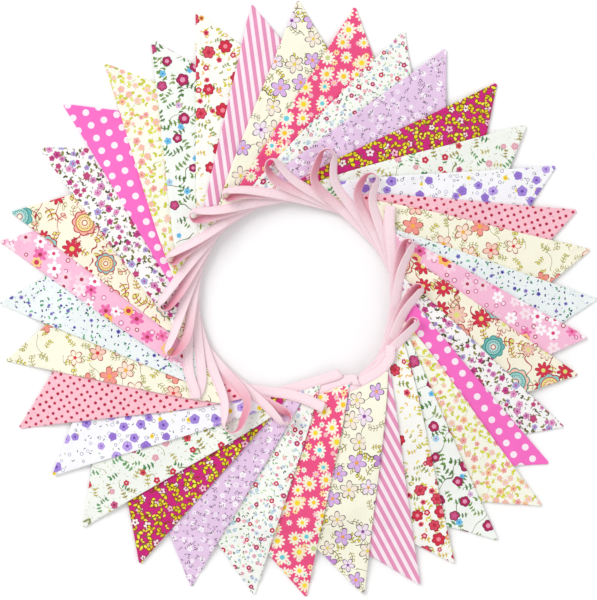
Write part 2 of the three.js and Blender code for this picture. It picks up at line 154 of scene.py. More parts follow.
# Loops of the tape, by the pennant before them: bearing and radius of the end, spacing, whether it is
# folded flat, and whether it rises early
loops = {
    22: (166, 111, 0, True, False), 24: (182.5, 123, 12, False, False), 26: (206, 148, 18, False, True),
    28: (225.5, 139, 0, True, False), 30: (246, 139, 9, False, True), 32: (265.5, 134, 9, False, False),
    34: (288, 129, 9, False, False), 36: (308, 134, 10, False, False), 2: (324.5, 125, 9, False, False),
    4: (349, 141, 12, False, True), 6: (12.5, 153, 15, False, True), 8: (32, 147, 14, False, True),
    10: (46, 131, 0, True, False), 12: (62.5, 129, 9, False, False), 14: (83.5, 126, 7, False, False),
    16: (99, 122, 7, False, False), 18: (117, 106, 0, True, False),
}
tails = ((21, 148.5, 86, 34), (20, 142.5, 103, 27))  # leaves, bearing, radius, heading of the cut ends

units = len(pennants)
halfTape = tapeCut["width"] / 2


def polar(bearing, radius):
    return np.array([radius * math.sin(math.radians(bearing)), radius * math.cos(math.radians(bearing))])


def leftOf(direction):
    return np.array([-direction[1], direction[0]])


# How far a pennant's top bends in towards the hole at its first end: under a narrow loop it stays out
def firstBow(unit):
    loop = loops.get(unit + 1)
    if loop is None:
        return tapeCut["bowFirst"]
    return tapeCut["bowFolded"] if loop[3] else loop[2] - tapeCut["bowLess"]


# The bend at a distance from the first end, and how steep it is there
def bowAt(unit, along):
    share = np.asarray(along) * 2 / pennantCut["width"] - 1
    return share**2 * np.where(share < 0, firstBow(unit), tapeCut["bowLast"])


def bowSlope(unit, along):
    share = along * 2 / pennantCut["width"] - 1
    return share * (firstBow(unit) if share < 0 else tapeCut["bowLast"]) * 4 / pennantCut["width"]


def planOf(row):
    bearing, reach, lean, length = row[1:]
    tip = polar(bearing, reach)
    inward = polar(bearing + 180 - lean, 1)
    across = leftOf(inward)
    middle = tip + inward * length
    first = middle - across * pennantCut["width"] / 2
    last = middle + across * pennantCut["width"] / 2
    return {"tip": tip, "inward": inward, "across": across, "middle": middle, "length": length,
            "first": first, "last": last}


# A place on the tape above a pennant's top edge, and the way the tape runs there, clockwise round the hole
def onTape(unit, along):
    plan = plans[unit]
    inwards = tapeCut["gap"] + halfTape + float(bowAt(unit, along))
    heading = plan["across"] + plan["inward"] * bowSlope(unit, along)
    place = plan["first"] + plan["across"] * along + plan["inward"] * inwards
    return place, heading / np.linalg.norm(heading)


plans = [planOf(row) for row in pennants]


# A curve of the tape in plan, from one heading to another
def strand(start, startHeading, end, endHeading):
    reach = np.linalg.norm(end - start) * tapeCut["handle"]
    a, b, c, d = start, start + startHeading * reach, end - endHeading * reach, end
    count = max(3, round(np.linalg.norm(end - start) / tapeCut["step"]))
    steps = []
    for t in np.linspace(0, 1, count + 1)[1:]:
        s = 1 - t
        point = a * s**3 + b * 3 * s * s * t + c * 3 * s * t * t + d * t**3
        tangent = (b - a) * s * s + (c - b) * 2 * s * t + (d - c) * t * t
        steps.append((t, point, tangent / np.linalg.norm(tangent)))
    return steps


def walkTape():
    route = []
    state = {"turned": False}
    full = pennantCut["width"]

    # the tape's section: its middle in plan, its width's direction, the layers below it and how it leans
    def put(point, heading, low, high, mix, lean=0.0, fold=None):
        width = leftOf(heading) * (-1 if state["turned"] else 1)
        route.append({"point": point, "width": width, "low": low, "high": high, "mix": mix,
                      "lean": math.radians(lean), "fold": fold})

    def opens(unit):
        loop = loops.get(unit + 1)
        return bool(loop) and not loop[3]

    def addHeader(unit, clockwise, highUnit):
        loop = opens((unit - 1) % units) if clockwise else opens(unit)
        for travelled in np.linspace(0, full, tapeCut["headerStops"]):
            along = travelled if clockwise else full - travelled
            point, heading = onTape(unit, along)
            rise = 0 if highUnit == unit else max(0, 1 - (full - travelled) / tapeCut["rampLength"])
            near = max(0, 1 - along / tapeCut["leanFar"]) ** tapeCut["leanFalls"]
            lean = tapeCut["leanNear"] * near if loop else 0
            put(point, heading if clockwise else -heading, unit, highUnit, rise, lean)

    # the tape folded flat over itself, so that its other face is up
    def addFold(start, startHeading, end, heading, finish, finishHeading, lower, upper):
        for t, point, tangent in strand(start, startHeading, end, heading):
            put(point, tangent, lower, lower, 0)
        for angle in range(tapeCut["foldTurn"], 180, tapeCut["foldTurn"]):
            put(end, heading, lower, upper, 0, fold=(math.radians(angle), heading))
        state["turned"] = not state["turned"]
        for t, point, tangent in strand(end, -heading, finish, finishHeading)[:-1]:
            put(point, tangent, upper, upper, 0)

    def addHiddenFold(lower, upper):
        (low, lowHeading), (up, upHeading) = onTape(lower, full), onTape(upper, full)
        end = (low + up) / 2 + upHeading * tapeCut["foldPast"]
        addFold(low, lowHeading, end, upHeading, up, -upHeading, lower, upper)

    # a loop: the tape stands on its outer edge at the loop's end and comes back with its other face up
    def addLoop(lower, upper):
        bearing, radius, gap, folded, early = loops[lower + 1]
        end = polar(bearing, radius)
        (start, startHeading), (finish, finishHeading) = onTape(lower, 0), onTape(upper, 0)
        heading = end - (start + finish) / 2
        heading = heading / np.linalg.norm(heading)
        if folded:
            addFold(start, -startHeading, end, heading, finish, finishHeading, lower, upper)
            return
        outward = leftOf(heading)
        if outward @ end < 0:
            outward = -outward
        long = gap / 2 * tapeCut["endStretch"]
        inner = end - heading * (long + tapeCut["thick"] / 2) - outward * gap / 2
        inner = inner + heading * max(0, tapeCut["loopStraight"] - (inner - start) @ heading)
        outer = inner + outward * gap
        near, loop, most = tapeCut["leanNear"], tapeCut["leanLoop"], tapeCut["leanEnd"]
        for t, point, tangent in strand(start, -startHeading, inner, heading):
            rise = 1 if early else tapeCut["riseFirst"] * t
            put(point, tangent, lower, upper, rise, near + (loop - near) * t)
        for angle in range(tapeCut["loopTurn"], 181, tapeCut["loopTurn"]):
            turn = math.radians(angle)
            point = (inner + outer) / 2 - outward * gap / 2 * math.cos(turn) + heading * long * math.sin(turn)
            tangent = heading * long * math.cos(turn) + outward * gap / 2 * math.sin(turn)
            rise = 1 if early else min(1, tapeCut["riseFirst"] + angle / tapeCut["riseOver"])
            if angle == tapeCut["loopFlips"]:
                state["turned"] = not state["turned"]
            lean = loop + (most - loop) * math.sin(turn)
            put(point, tangent / np.linalg.norm(tangent), lower, upper, rise, lean)
        for t, point, tangent in strand(outer, -heading, finish, finishHeading)[:-1]:
            put(point, tangent, upper, upper, 0, loop + (near - loop) * t)

    def tailSteps(row):
        leaves, bearing, radius, heading = row
        start, startHeading = onTape(leaves - 1, 0)
        direction = np.array([math.cos(math.radians(heading)), math.sin(math.radians(heading))])
        return strand(start, -startHeading, polar(bearing, radius), direction)

    firstUnit, lastUnit = tails[0][0] - 1, tails[1][0] - 1
    for t, point, tangent in reversed(tailSteps(tails[0])):
        put(point, -tangent, firstUnit, firstUnit, 0)
    for i in range(units):
        unit = (firstUnit + i) % units
        following = (unit + 1) % units
        if i % 2 == 0:
            addHeader(unit, True, unit)
            addHiddenFold(unit, following)
        else:
            loop = loops.get(unit + 1)
            addHeader(unit, False, following if loop and loop[4] else unit)
            if loop:
                addLoop(unit, following)
    for t, point, tangent in tailSteps(tails[1]):
        put(point, tangent, lastUnit, lastUnit, 0)
    return eased(route)


# The route with its corners eased, except where the tape is folded or stands on its edge
def eased(route):
    points = np.array([stop["point"] for stop in route])
    lean = np.degrees([stop["lean"] for stop in route])
    free = np.clip((tapeCut["easeMost"] - lean) / tapeCut["easeOver"], 0, 1)
    clear = tapeCut["easeClear"]
    for i, stop in enumerate(route):
        if stop["fold"] is not None:
            free[max(0, i - clear):i + clear + 1] = 0
    free[:clear], free[-clear:] = 0, 0
    for sweep in range(tapeCut["easeSweeps"]):
        between = (np.roll(points, 1, 0) + np.roll(points, -1, 0)) / 2
        points += (between - points) * free[:, None] / 2
    for i, stop in enumerate(route):
        if free[i] > 0:
            tangent = points[i + 1] - points[i - 1]
            width = leftOf(tangent / np.linalg.norm(tangent))
            stop["width"] = width * (1 if width @ stop["width"] > 0 else -1)
            stop["point"] = points[i]
    return route


# One net for all layers, so that they stay over each other: its nodes, and the triangles between two rings
def makeNet():
    nodes, starts = [], []
    for radius, spokes in layout["rings"]:
        starts.append(len(nodes))
        nodes += [polar(spoke * 360 / spokes, radius) for spoke in range(spokes)]
    bands = []
    for ring in range(len(layout["rings"]) - 1):
        count, outerCount = layout["rings"][ring][1], layout["rings"][ring + 1][1]
        ratio = outerCount // count
        cells = []
        for spoke in range(count):
            a, b = starts[ring] + spoke, starts[ring] + (spoke + 1) % count
            c, d, e = [starts[ring + 1] + (spoke * ratio + k) % outerCount for k in range(3)]
            cells.append(((a, d, b), (a, c, d)) if ratio == 1 else ((a, c, d), (a, d, b), (b, d, e)))
        bands.append(np.array(cells))
    return np.array(nodes), bands


# Twice the area of the triangle that two rows of places make with a third
def areaOf(p, q, u, v):
    return (q[:, 0] - p[:, 0]) * (v - p[:, 1]) - (q[:, 1] - p[:, 1]) * (u - p[:, 0])


# The triangle of the net that each place is in, its weights there, and whether it is in the net at all
def locate(points, nodes, bands):
    x, y = points[:, 0], points[:, 1]
    bearing = np.degrees(np.arctan2(x, y)) % 360
    radius = np.hypot(x, y)
    best = np.full(len(points), -np.inf)
    facet = np.zeros(len(points), int)
    weights = np.zeros((len(points), 3))
    offset = 0
    for ring, cells in enumerate(bands):
        count, kinds = cells.shape[:2]
        least, most = layout["rings"][ring][0] * layout["ringSlack"], layout["rings"][ring + 1][0]
        near = np.nonzero((radius >= least) & (radius <= most))[0]
        cell = np.minimum(count - 1, (bearing[near] * count / 360).astype(int))
        for kind in range(kinds):
            a, b, c = (nodes[cells[cell, kind, corner]] for corner in range(3))
            px, py = x[near], y[near]
            area = areaOf(a, b, c[:, 0], c[:, 1])
            three = np.stack([areaOf(p, q, px, py) / area for p, q in ((b, c), (c, a), (a, b))], 1)
            worst = three.min(1)
            better = worst > best[near]
            chosen = near[better]
            best[chosen] = worst[better]
            facet[chosen] = offset + cell[better] * kinds + kind
            weights[chosen] = three[better]
        offset += count * kinds
    return facet, weights, best > layout["netSlack"]


route = walkTape()
netNodes, netBands = makeNet()
netFacets = np.concatenate([cells.reshape(-1, 3) for cells in netBands])
print("tape route:", len(route), "stops; net:", len(netNodes), "nodes")


# Which triangles of the net each pennant touches, with the tape that runs on it
def touchedFacets():
    touched = np.zeros((units, len(netFacets)), bool)
    steps = np.linspace(0, 1, layout["probes"])
    for unit, plan in enumerate(plans):
        left = plan["first"] + (plan["tip"] - plan["first"]) * steps[:, None]
        right = plan["last"] + (plan["tip"] - plan["last"]) * steps[:, None]
        points = (left[:, None] + (right - left)[:, None] * steps[None, :, None]).reshape(-1, 2)
        touched[unit, locate(points, netNodes, netBands)[0]] = True
    for side in (-halfTape, 0, halfTape):
        points = np.array([stop["point"] + stop["width"] * side for stop in route])
        facets = locate(points, netNodes, netBands)[0]
        touched[[stop["low"] for stop in route], facets] = True
        touched[[stop["high"] for stop in route], facets] = True
    return touched


# The height of each pennant at each node: one layer above whatever it lies on
def layerLevels(touched):
    varies = [math.sin(unit * layout["liftTurn"]) for unit in range(units)]
    lifts = np.array([layout["lift"] * (1 + layout["liftVaries"] * vary) for vary in varies])
    levels = np.zeros((units, len(netNodes)))
    share = {}
    for unit in range(units):
        for below in range(1, layout["layersBelow"] + 1):
            other = (unit - below) % units
            both = np.zeros(len(netNodes), bool)
            both[netFacets[touched[unit] & touched[other]].ravel()] = True
            if both.any():
                share[unit, other] = both
    for sweep in range(layout["sweeps"]):
        before = levels.copy()
        for (unit, other), both in share.items():
            raised = np.maximum(levels[unit], levels[other] + lifts[other])
            levels[unit] = np.where(both, raised, levels[unit])
        if np.array_equal(before, levels):
            break
    return levels


def blurred(field, sigma):
    reach = int(3 * sigma / layout["grid"]) + 1
    kernel = np.exp(-0.5 * (np.arange(-reach, reach + 1) * layout["grid"] / sigma) ** 2)
    kernel /= kernel.sum()
    for axis in (1, 2):
        padding = [(0, 0)] * 3
        padding[axis] = (reach, reach)
        padded = np.pad(field, padding)
        size = field.shape[axis]
        field = sum(weight * np.take(padded, np.arange(k, k + size), axis) for k, weight in enumerate(kernel))
    return field


# Each pennant's height over the floor on a square grid, smoothed and then kept apart from those below it
def makeHeightMaps():
    touched = touchedFacets()
    levels = layerLevels(touched)
    ticks = np.arange(-layout["reach"], layout["reach"] + 1, layout["grid"])
    x, y = np.meshgrid(ticks, ticks, indexing="ij")
    facet, weights, inside = locate(np.stack([x.ravel(), y.ravel()], 1), netNodes, netBands)
    shape = (units,) + x.shape
    heights = np.einsum("ufk,fk->uf", levels[:, netFacets[facet]], weights).reshape(shape)
    mask = (touched[:, facet] & inside[None]).reshape(shape).astype(float)
    heights *= mask
    cover = blurred(mask, layout["soften"])
    heights = blurred(heights, layout["soften"]) / np.maximum(cover, 1e-6)
    heights[cover < 1e-3] = 0
    here = cover > layout["covered"]
    for sweep in range(layout["apartSweeps"]):
        for unit in range(units):
            for below in range(1, layout["apartBelow"] + 1):
                other = (unit - below) % units
                both = here[unit] & here[other]
                push = heights[other] + layout["apart"]
                heights[unit] = np.where(both & (heights[unit] < push), push, heights[unit])
    return heights


heightMaps = makeHeightMaps()


def heightAt(unit, x, y):
    gx = np.clip((np.asarray(x) + layout["reach"]) / layout["grid"], 0, heightMaps.shape[1] - 1.001)
    gy = np.clip((np.asarray(y) + layout["reach"]) / layout["grid"], 0, heightMaps.shape[2] - 1.001)
    i, j = gx.astype(int), gy.astype(int)
    u, v = gx - i, gy - j
    return (
        heightMaps[unit, i, j] * (1 - u) * (1 - v) + heightMaps[unit, i + 1, j] * u * (1 - v)
        + heightMaps[unit, i, j + 1] * (1 - u) * v + heightMaps[unit, i + 1, j + 1] * u * v
    )


print("height maps:", heightMaps.shape, "highest", round(float(heightMaps.max()), 1), "mm")


def inFrame(points):
    moved = np.array(points, float)
    moved[:, 0] += layout["holeX"]
    moved[:, 1] += layout["holeY"]
    return moved / 1000


def addObject(name, data):
    item = bpy.data.objects.new(name, data)
    bpy.context.scene.collection.objects.link(item)
    return item


def meshPiece(name, points, faces, material, uvs=None, values=None):
    mesh = bpy.data.meshes.new(name)
    mesh.from_pydata(points.tolist(), [], faces)
    if uvs is not None:
        layer = mesh.uv_layers.new(name="clothPlan")
        corners = np.zeros(len(mesh.loops), int)
        mesh.loops.foreach_get("vertex_index", corners)
        layer.data.foreach_set("uv", uvs[corners].astype(np.float32).ravel())
    for label, column in (values or {}).items():
        mesh.attributes.new(label, "FLOAT", "POINT").data.foreach_set("value", np.asarray(column, np.float32))
    mesh.materials.append(material)
    mesh.polygons.foreach_set("use_smooth", np.ones(len(mesh.polygons), bool))
    mesh.update()
    return addObject(name, mesh)


def linearColour(code):
    parts = [int(code[i:i + 2], 16) / 255 for i in (0, 2, 4)]
    return tuple(p / 12.92 if p <= 0.04045 else ((p + 0.055) / 1.055) ** 2.4 for p in parts) + (1.0,)


def addNode(tree, kind, inputs=None, **settings):
    node = tree.nodes.new(kind)
    for key, value in settings.items():
        setattr(node, key, value)
    for key, value in (inputs or {}).items():
        if isinstance(value, bpy.types.NodeSocket):
            tree.links.new(value, node.inputs[key])
        else:
            node.inputs[key].default_value = value
    return node


# A tree as rows: the wire's name, the node, its operation or settings, then its inputs by place or by name
def addRows(tree, wires, rows):
    for label, kind, settings, *inputs in rows:
        settings = {"operation": settings} if isinstance(settings, str) else settings
        named = inputs[0] if inputs and isinstance(inputs[0], dict) else dict(enumerate(inputs))
        named = {key: wires[value] if isinstance(value, str) else value for key, value in named.items()}
        node = addNode(tree, "ShaderNode" + kind, named, **settings)
        wires[label] = node.outputs[0]
        for place, socket in enumerate(node.outputs):
            wires[f"{label}.{socket.name}"] = socket
            wires[f"{label}.{place}"] = socket
    return wires


# One area with a soft edge, where a distance inwards passes zero
def soft(label, value, edge=0.2):
    return label, "MapRange", {}, {"Value": value, "From Min": -edge, "From Max": edge}


# Cells of a loose grid, each with its own turn, size and pick of the inks
motifStart = (
    ("scale", "Math", "DIVIDE", 1.0, "Cell"),
    ("spread", "VectorMath", "MULTIPLY", "Vector", "scale"),
    ("place", "VectorMath", "ADD", "spread", "Seed"),
    ("cell", "TexVoronoi", {"voronoi_dimensions": "2D"},
     {"Vector": "place", "Scale": 1.0, "Randomness": "Jitter"}),
    ("offset", "VectorMath", "SUBTRACT", "place", "cell.Position"),
    ("level", "VectorMath", "MULTIPLY", "offset", (1, 1, 0)),
    ("local", "VectorMath", "MULTIPLY", "level", "Cell"),
    ("dice", "SeparateColor", {}, "cell.Color"),
    ("spin", "Math", "MULTIPLY", "dice.Red", 2 * math.pi),
    ("vary", "Math", "MULTIPLY", "dice.Green", "Vary"),
    ("size", "Math", "SUBTRACT", 1.0, "vary"),
    ("shown", "Math", "LESS_THAN", "dice.Blue", "Share"),
    ("Pick", "Math", "DIVIDE", "dice.Blue", "Share"),
)

motifs = {
    # a round flower with scalloped petals: radius against a cosine of the angle round its middle
    "bloom": {
        "inputs": {"Cell": 12.0, "Jitter": 0.4, "Radius": 4.0, "Count": 5.0, "Depth": 0.35, "Core": 1.2,
                   "Line": 0.5, "Vary": 0.35, "Share": 1.0, "Seed": 0.0},
        "outputs": ("Petals", "Rim", "Centre", "Eye", "Veins", "Pick"),
        "rows": motifStart + (
            ("split", "SeparateXYZ", {}, "local"),
            ("radius", "VectorMath", "LENGTH", "local"),
            ("bearing", "Math", "ARCTAN2", "split.Y", "split.X"),
            ("angle", "Math", "ADD", "bearing", "spin"),
            ("half", "Math", "MULTIPLY", "Count", 0.5),
            ("lobes", "Math", "MULTIPLY", "angle", "half"),
            ("wave", "Math", "COSINE", "lobes"),
            ("swell", "Math", "ABSOLUTE", "wave"),
            ("dip", "Math", "SUBTRACT", 1.0, "swell"),
            ("cut", "Math", "MULTIPLY", "dip", "Depth"),
            ("kept", "Math", "SUBTRACT", 1.0, "cut"),
            ("reach", "Math", "MULTIPLY", "Radius", "size"),
            ("edge", "Math", "MULTIPLY", "reach", "kept"),
            ("inside", "Math", "SUBTRACT", "edge", "radius.Value"),
            soft("petal", "inside", 0.25),
            ("Petals", "Math", "MULTIPLY", "petal", "shown"),
            ("rimGap", "Math", "ABSOLUTE", "inside"),
            ("rimIn", "Math", "SUBTRACT", "Line", "rimGap"),
            soft("rim", "rimIn"),
            ("Rim", "Math", "MULTIPLY", "rim", "shown"),
            ("coreReach", "Math", "MULTIPLY", "Core", "size"),
            ("coreIn", "Math", "SUBTRACT", "coreReach", "radius.Value"),
            soft("middle", "coreIn"),
            ("Centre", "Math", "MULTIPLY", "middle", "shown"),
            ("eyeGap", "Math", "ABSOLUTE", "coreIn"),
            ("eyeIn", "Math", "SUBTRACT", "Line", "eyeGap"),
            soft("eye", "eyeIn"),
            ("Eye", "Math", "MULTIPLY", "eye", "shown"),
            ("valley", "Math", "MULTIPLY", "swell", "radius.Value"),
            ("veinIn", "Math", "SUBTRACT", "Line", "valley"),
            soft("vein", "veinIn"),
            ("Veins", "Math", "MULTIPLY", "vein", "Petals"),
        ),
    },
    # a stem with pairs of pointed leaves
    "sprig": {
        "inputs": {"Cell": 12.0, "Jitter": 0.6, "Length": 3.0, "Width": 1.6, "Step": 2.6, "Pairs": 1.0,
                   "Line": 0.3, "Vary": 0.35, "Share": 1.0, "Seed": 0.0},
        "outputs": ("Leaves", "Rim", "Stem", "Pick"),
        "rows": motifStart + (
            ("turned", "VectorRotate", {"rotation_type": "Z_AXIS"}, {"Vector": "local", "Angle": "spin"}),
            ("grown", "VectorMath", "DIVIDE", "turned", "size"),
            ("split", "SeparateXYZ", {}, "grown"),
            ("bow", "Math", "MULTIPLY", "split.X", "split.X"),
            ("bowed", "Math", "MULTIPLY_ADD", "bow", 0.045, "split.Y"),
            ("away", "Math", "ABSOLUTE", "bowed"),
            ("steps", "Math", "DIVIDE", "split.X", "Step"),
            ("nearest", "Math", "ROUND", "steps"),
            ("lowest", "Math", "MULTIPLY", "Pairs", -1.0),
            ("atLeast", "Math", "MAXIMUM", "nearest", "lowest"),
            ("which", "Math", "MINIMUM", "atLeast", "Pairs"),
            ("back", "Math", "MULTIPLY", "which", "Step"),
            ("along", "Math", "SUBTRACT", "split.X", "back"),
            ("alongCos", "Math", "MULTIPLY", "along", 0.72),
            ("leafX", "Math", "MULTIPLY_ADD", "away", 0.69, "alongCos"),
            ("alongSin", "Math", "MULTIPLY", "along", -0.69),
            ("leafY", "Math", "MULTIPLY_ADD", "away", 0.72, "alongSin"),
            ("halfLong", "Math", "MULTIPLY", "Length", 0.5),
            ("fromMiddle", "Math", "SUBTRACT", "leafX", "halfLong"),
            ("share", "Math", "DIVIDE", "fromMiddle", "halfLong"),
            ("square", "Math", "MULTIPLY", "share", "share"),
            ("taper", "Math", "SUBTRACT", 1.0, "square"),
            ("halfWide", "Math", "MULTIPLY", "Width", 0.5),
            ("edge", "Math", "MULTIPLY", "taper", "halfWide"),
            ("leafGap", "Math", "ABSOLUTE", "leafY"),
            ("inside", "Math", "SUBTRACT", "edge", "leafGap"),
            soft("leaf", "inside", 0.15),
            ("Leaves", "Math", "MULTIPLY", "leaf", "shown"),
            ("rimGap", "Math", "ABSOLUTE", "inside"),
            ("rimIn", "Math", "SUBTRACT", "Line", "rimGap"),
            soft("rim", "rimIn", 0.15),
            ("rimShown", "Math", "GREATER_THAN", "taper", -0.2),
            ("rimMost", "Math", "MULTIPLY", "rim", "rimShown"),
            ("Rim", "Math", "MULTIPLY", "rimMost", "shown"),
            ("stemIn", "Math", "SUBTRACT", "Line", "away"),
            soft("stem", "stemIn", 0.15),
            ("stemHalf", "Math", "MULTIPLY_ADD", "Pairs", "Step", "halfLong"),
            ("alongAll", "Math", "ABSOLUTE", "split.X"),
            ("stemShort", "Math", "LESS_THAN", "alongAll", "stemHalf"),
            ("stemMost", "Math", "MULTIPLY", "stem", "stemShort"),
            ("Stem", "Math", "MULTIPLY", "stemMost", "shown"),
        ),
    },
    # long wandering stems, side by side and broken off here and there
    "vine": {
        "inputs": {"Size": 24.0, "Line": 0.3, "Share": 0.5, "Seed": 0.0},
        "outputs": ("Vine",),
        "rows": (
            ("scale", "Math", "DIVIDE", 1.0, "Size"),
            ("spread", "VectorMath", "MULTIPLY", "Vector", "scale"),
            ("place", "VectorMath", "ADD", "spread", "Seed"),
            ("wander", "TexNoise", {"noise_dimensions": "2D"},
             {"Vector": "place", "Scale": 1.6, "Detail": 0.0}),
            ("split", "SeparateXYZ", {}, "place"),
            ("sway", "Math", "MULTIPLY_ADD", "wander.Fac", 0.7, "split.Y"),
            ("within", "Math", "PINGPONG", "sway", 0.5),
            ("away", "Math", "MULTIPLY", "within", "Size"),
            ("inside", "Math", "SUBTRACT", "Line", "away"),
            soft("line", "inside", 0.15),
            ("patch", "TexNoise", {"noise_dimensions": "2D"},
             {"Vector": "place", "Scale": 1.9, "Detail": 0.0}),
            ("spare", "Math", "MULTIPLY_ADD", "Share", -0.5, 0.75),
            ("there", "Math", "GREATER_THAN", "patch.Fac", "spare"),
            ("Vine", "Math", "MULTIPLY", "line", "there"),
        ),
    },
    # slanting bands of one width
    "band": {
        "inputs": {"Pitch": 7.4, "Width": 3.5, "Slant": 0.5},
        "outputs": ("Band",),
        "rows": (
            ("turned", "VectorRotate", {"rotation_type": "Z_AXIS"}, {"Vector": "Vector", "Angle": "Slant"}),
            ("split", "SeparateXYZ", {}, "turned"),
            ("halfPitch", "Math", "MULTIPLY", "Pitch", 0.5),
            ("within", "Math", "PINGPONG", "split.X", "halfPitch"),
            ("halfWide", "Math", "MULTIPLY", "Width", 0.5),
            ("inside", "Math", "SUBTRACT", "halfWide", "within"),
            soft("Band", "inside"),
        ),
    },
}


def makeMotif(name, spec):
    tree = bpy.data.node_groups.new(name, "ShaderNodeTree")
    tree.interface.new_socket("Vector", in_out="INPUT", socket_type="NodeSocketVector")
    for label, value in spec["inputs"].items():
        tree.interface.new_socket(label, in_out="INPUT", socket_type="NodeSocketFloat").default_value = value
    for label in spec["outputs"]:
        tree.interface.new_socket(label, in_out="OUTPUT", socket_type="NodeSocketFloat")
    begin = tree.nodes.new("NodeGroupInput")
    wires = {socket.name: socket for socket in begin.outputs if socket.name}
    addRows(tree, wires, spec["rows"])
    finish = tree.nodes.new("NodeGroupOutput")
    for label in spec["outputs"]:
        tree.links.new(wires[label], finish.inputs[label])
    return tree


motifTrees = {name: makeMotif(name, spec) for name, spec in motifs.items()}

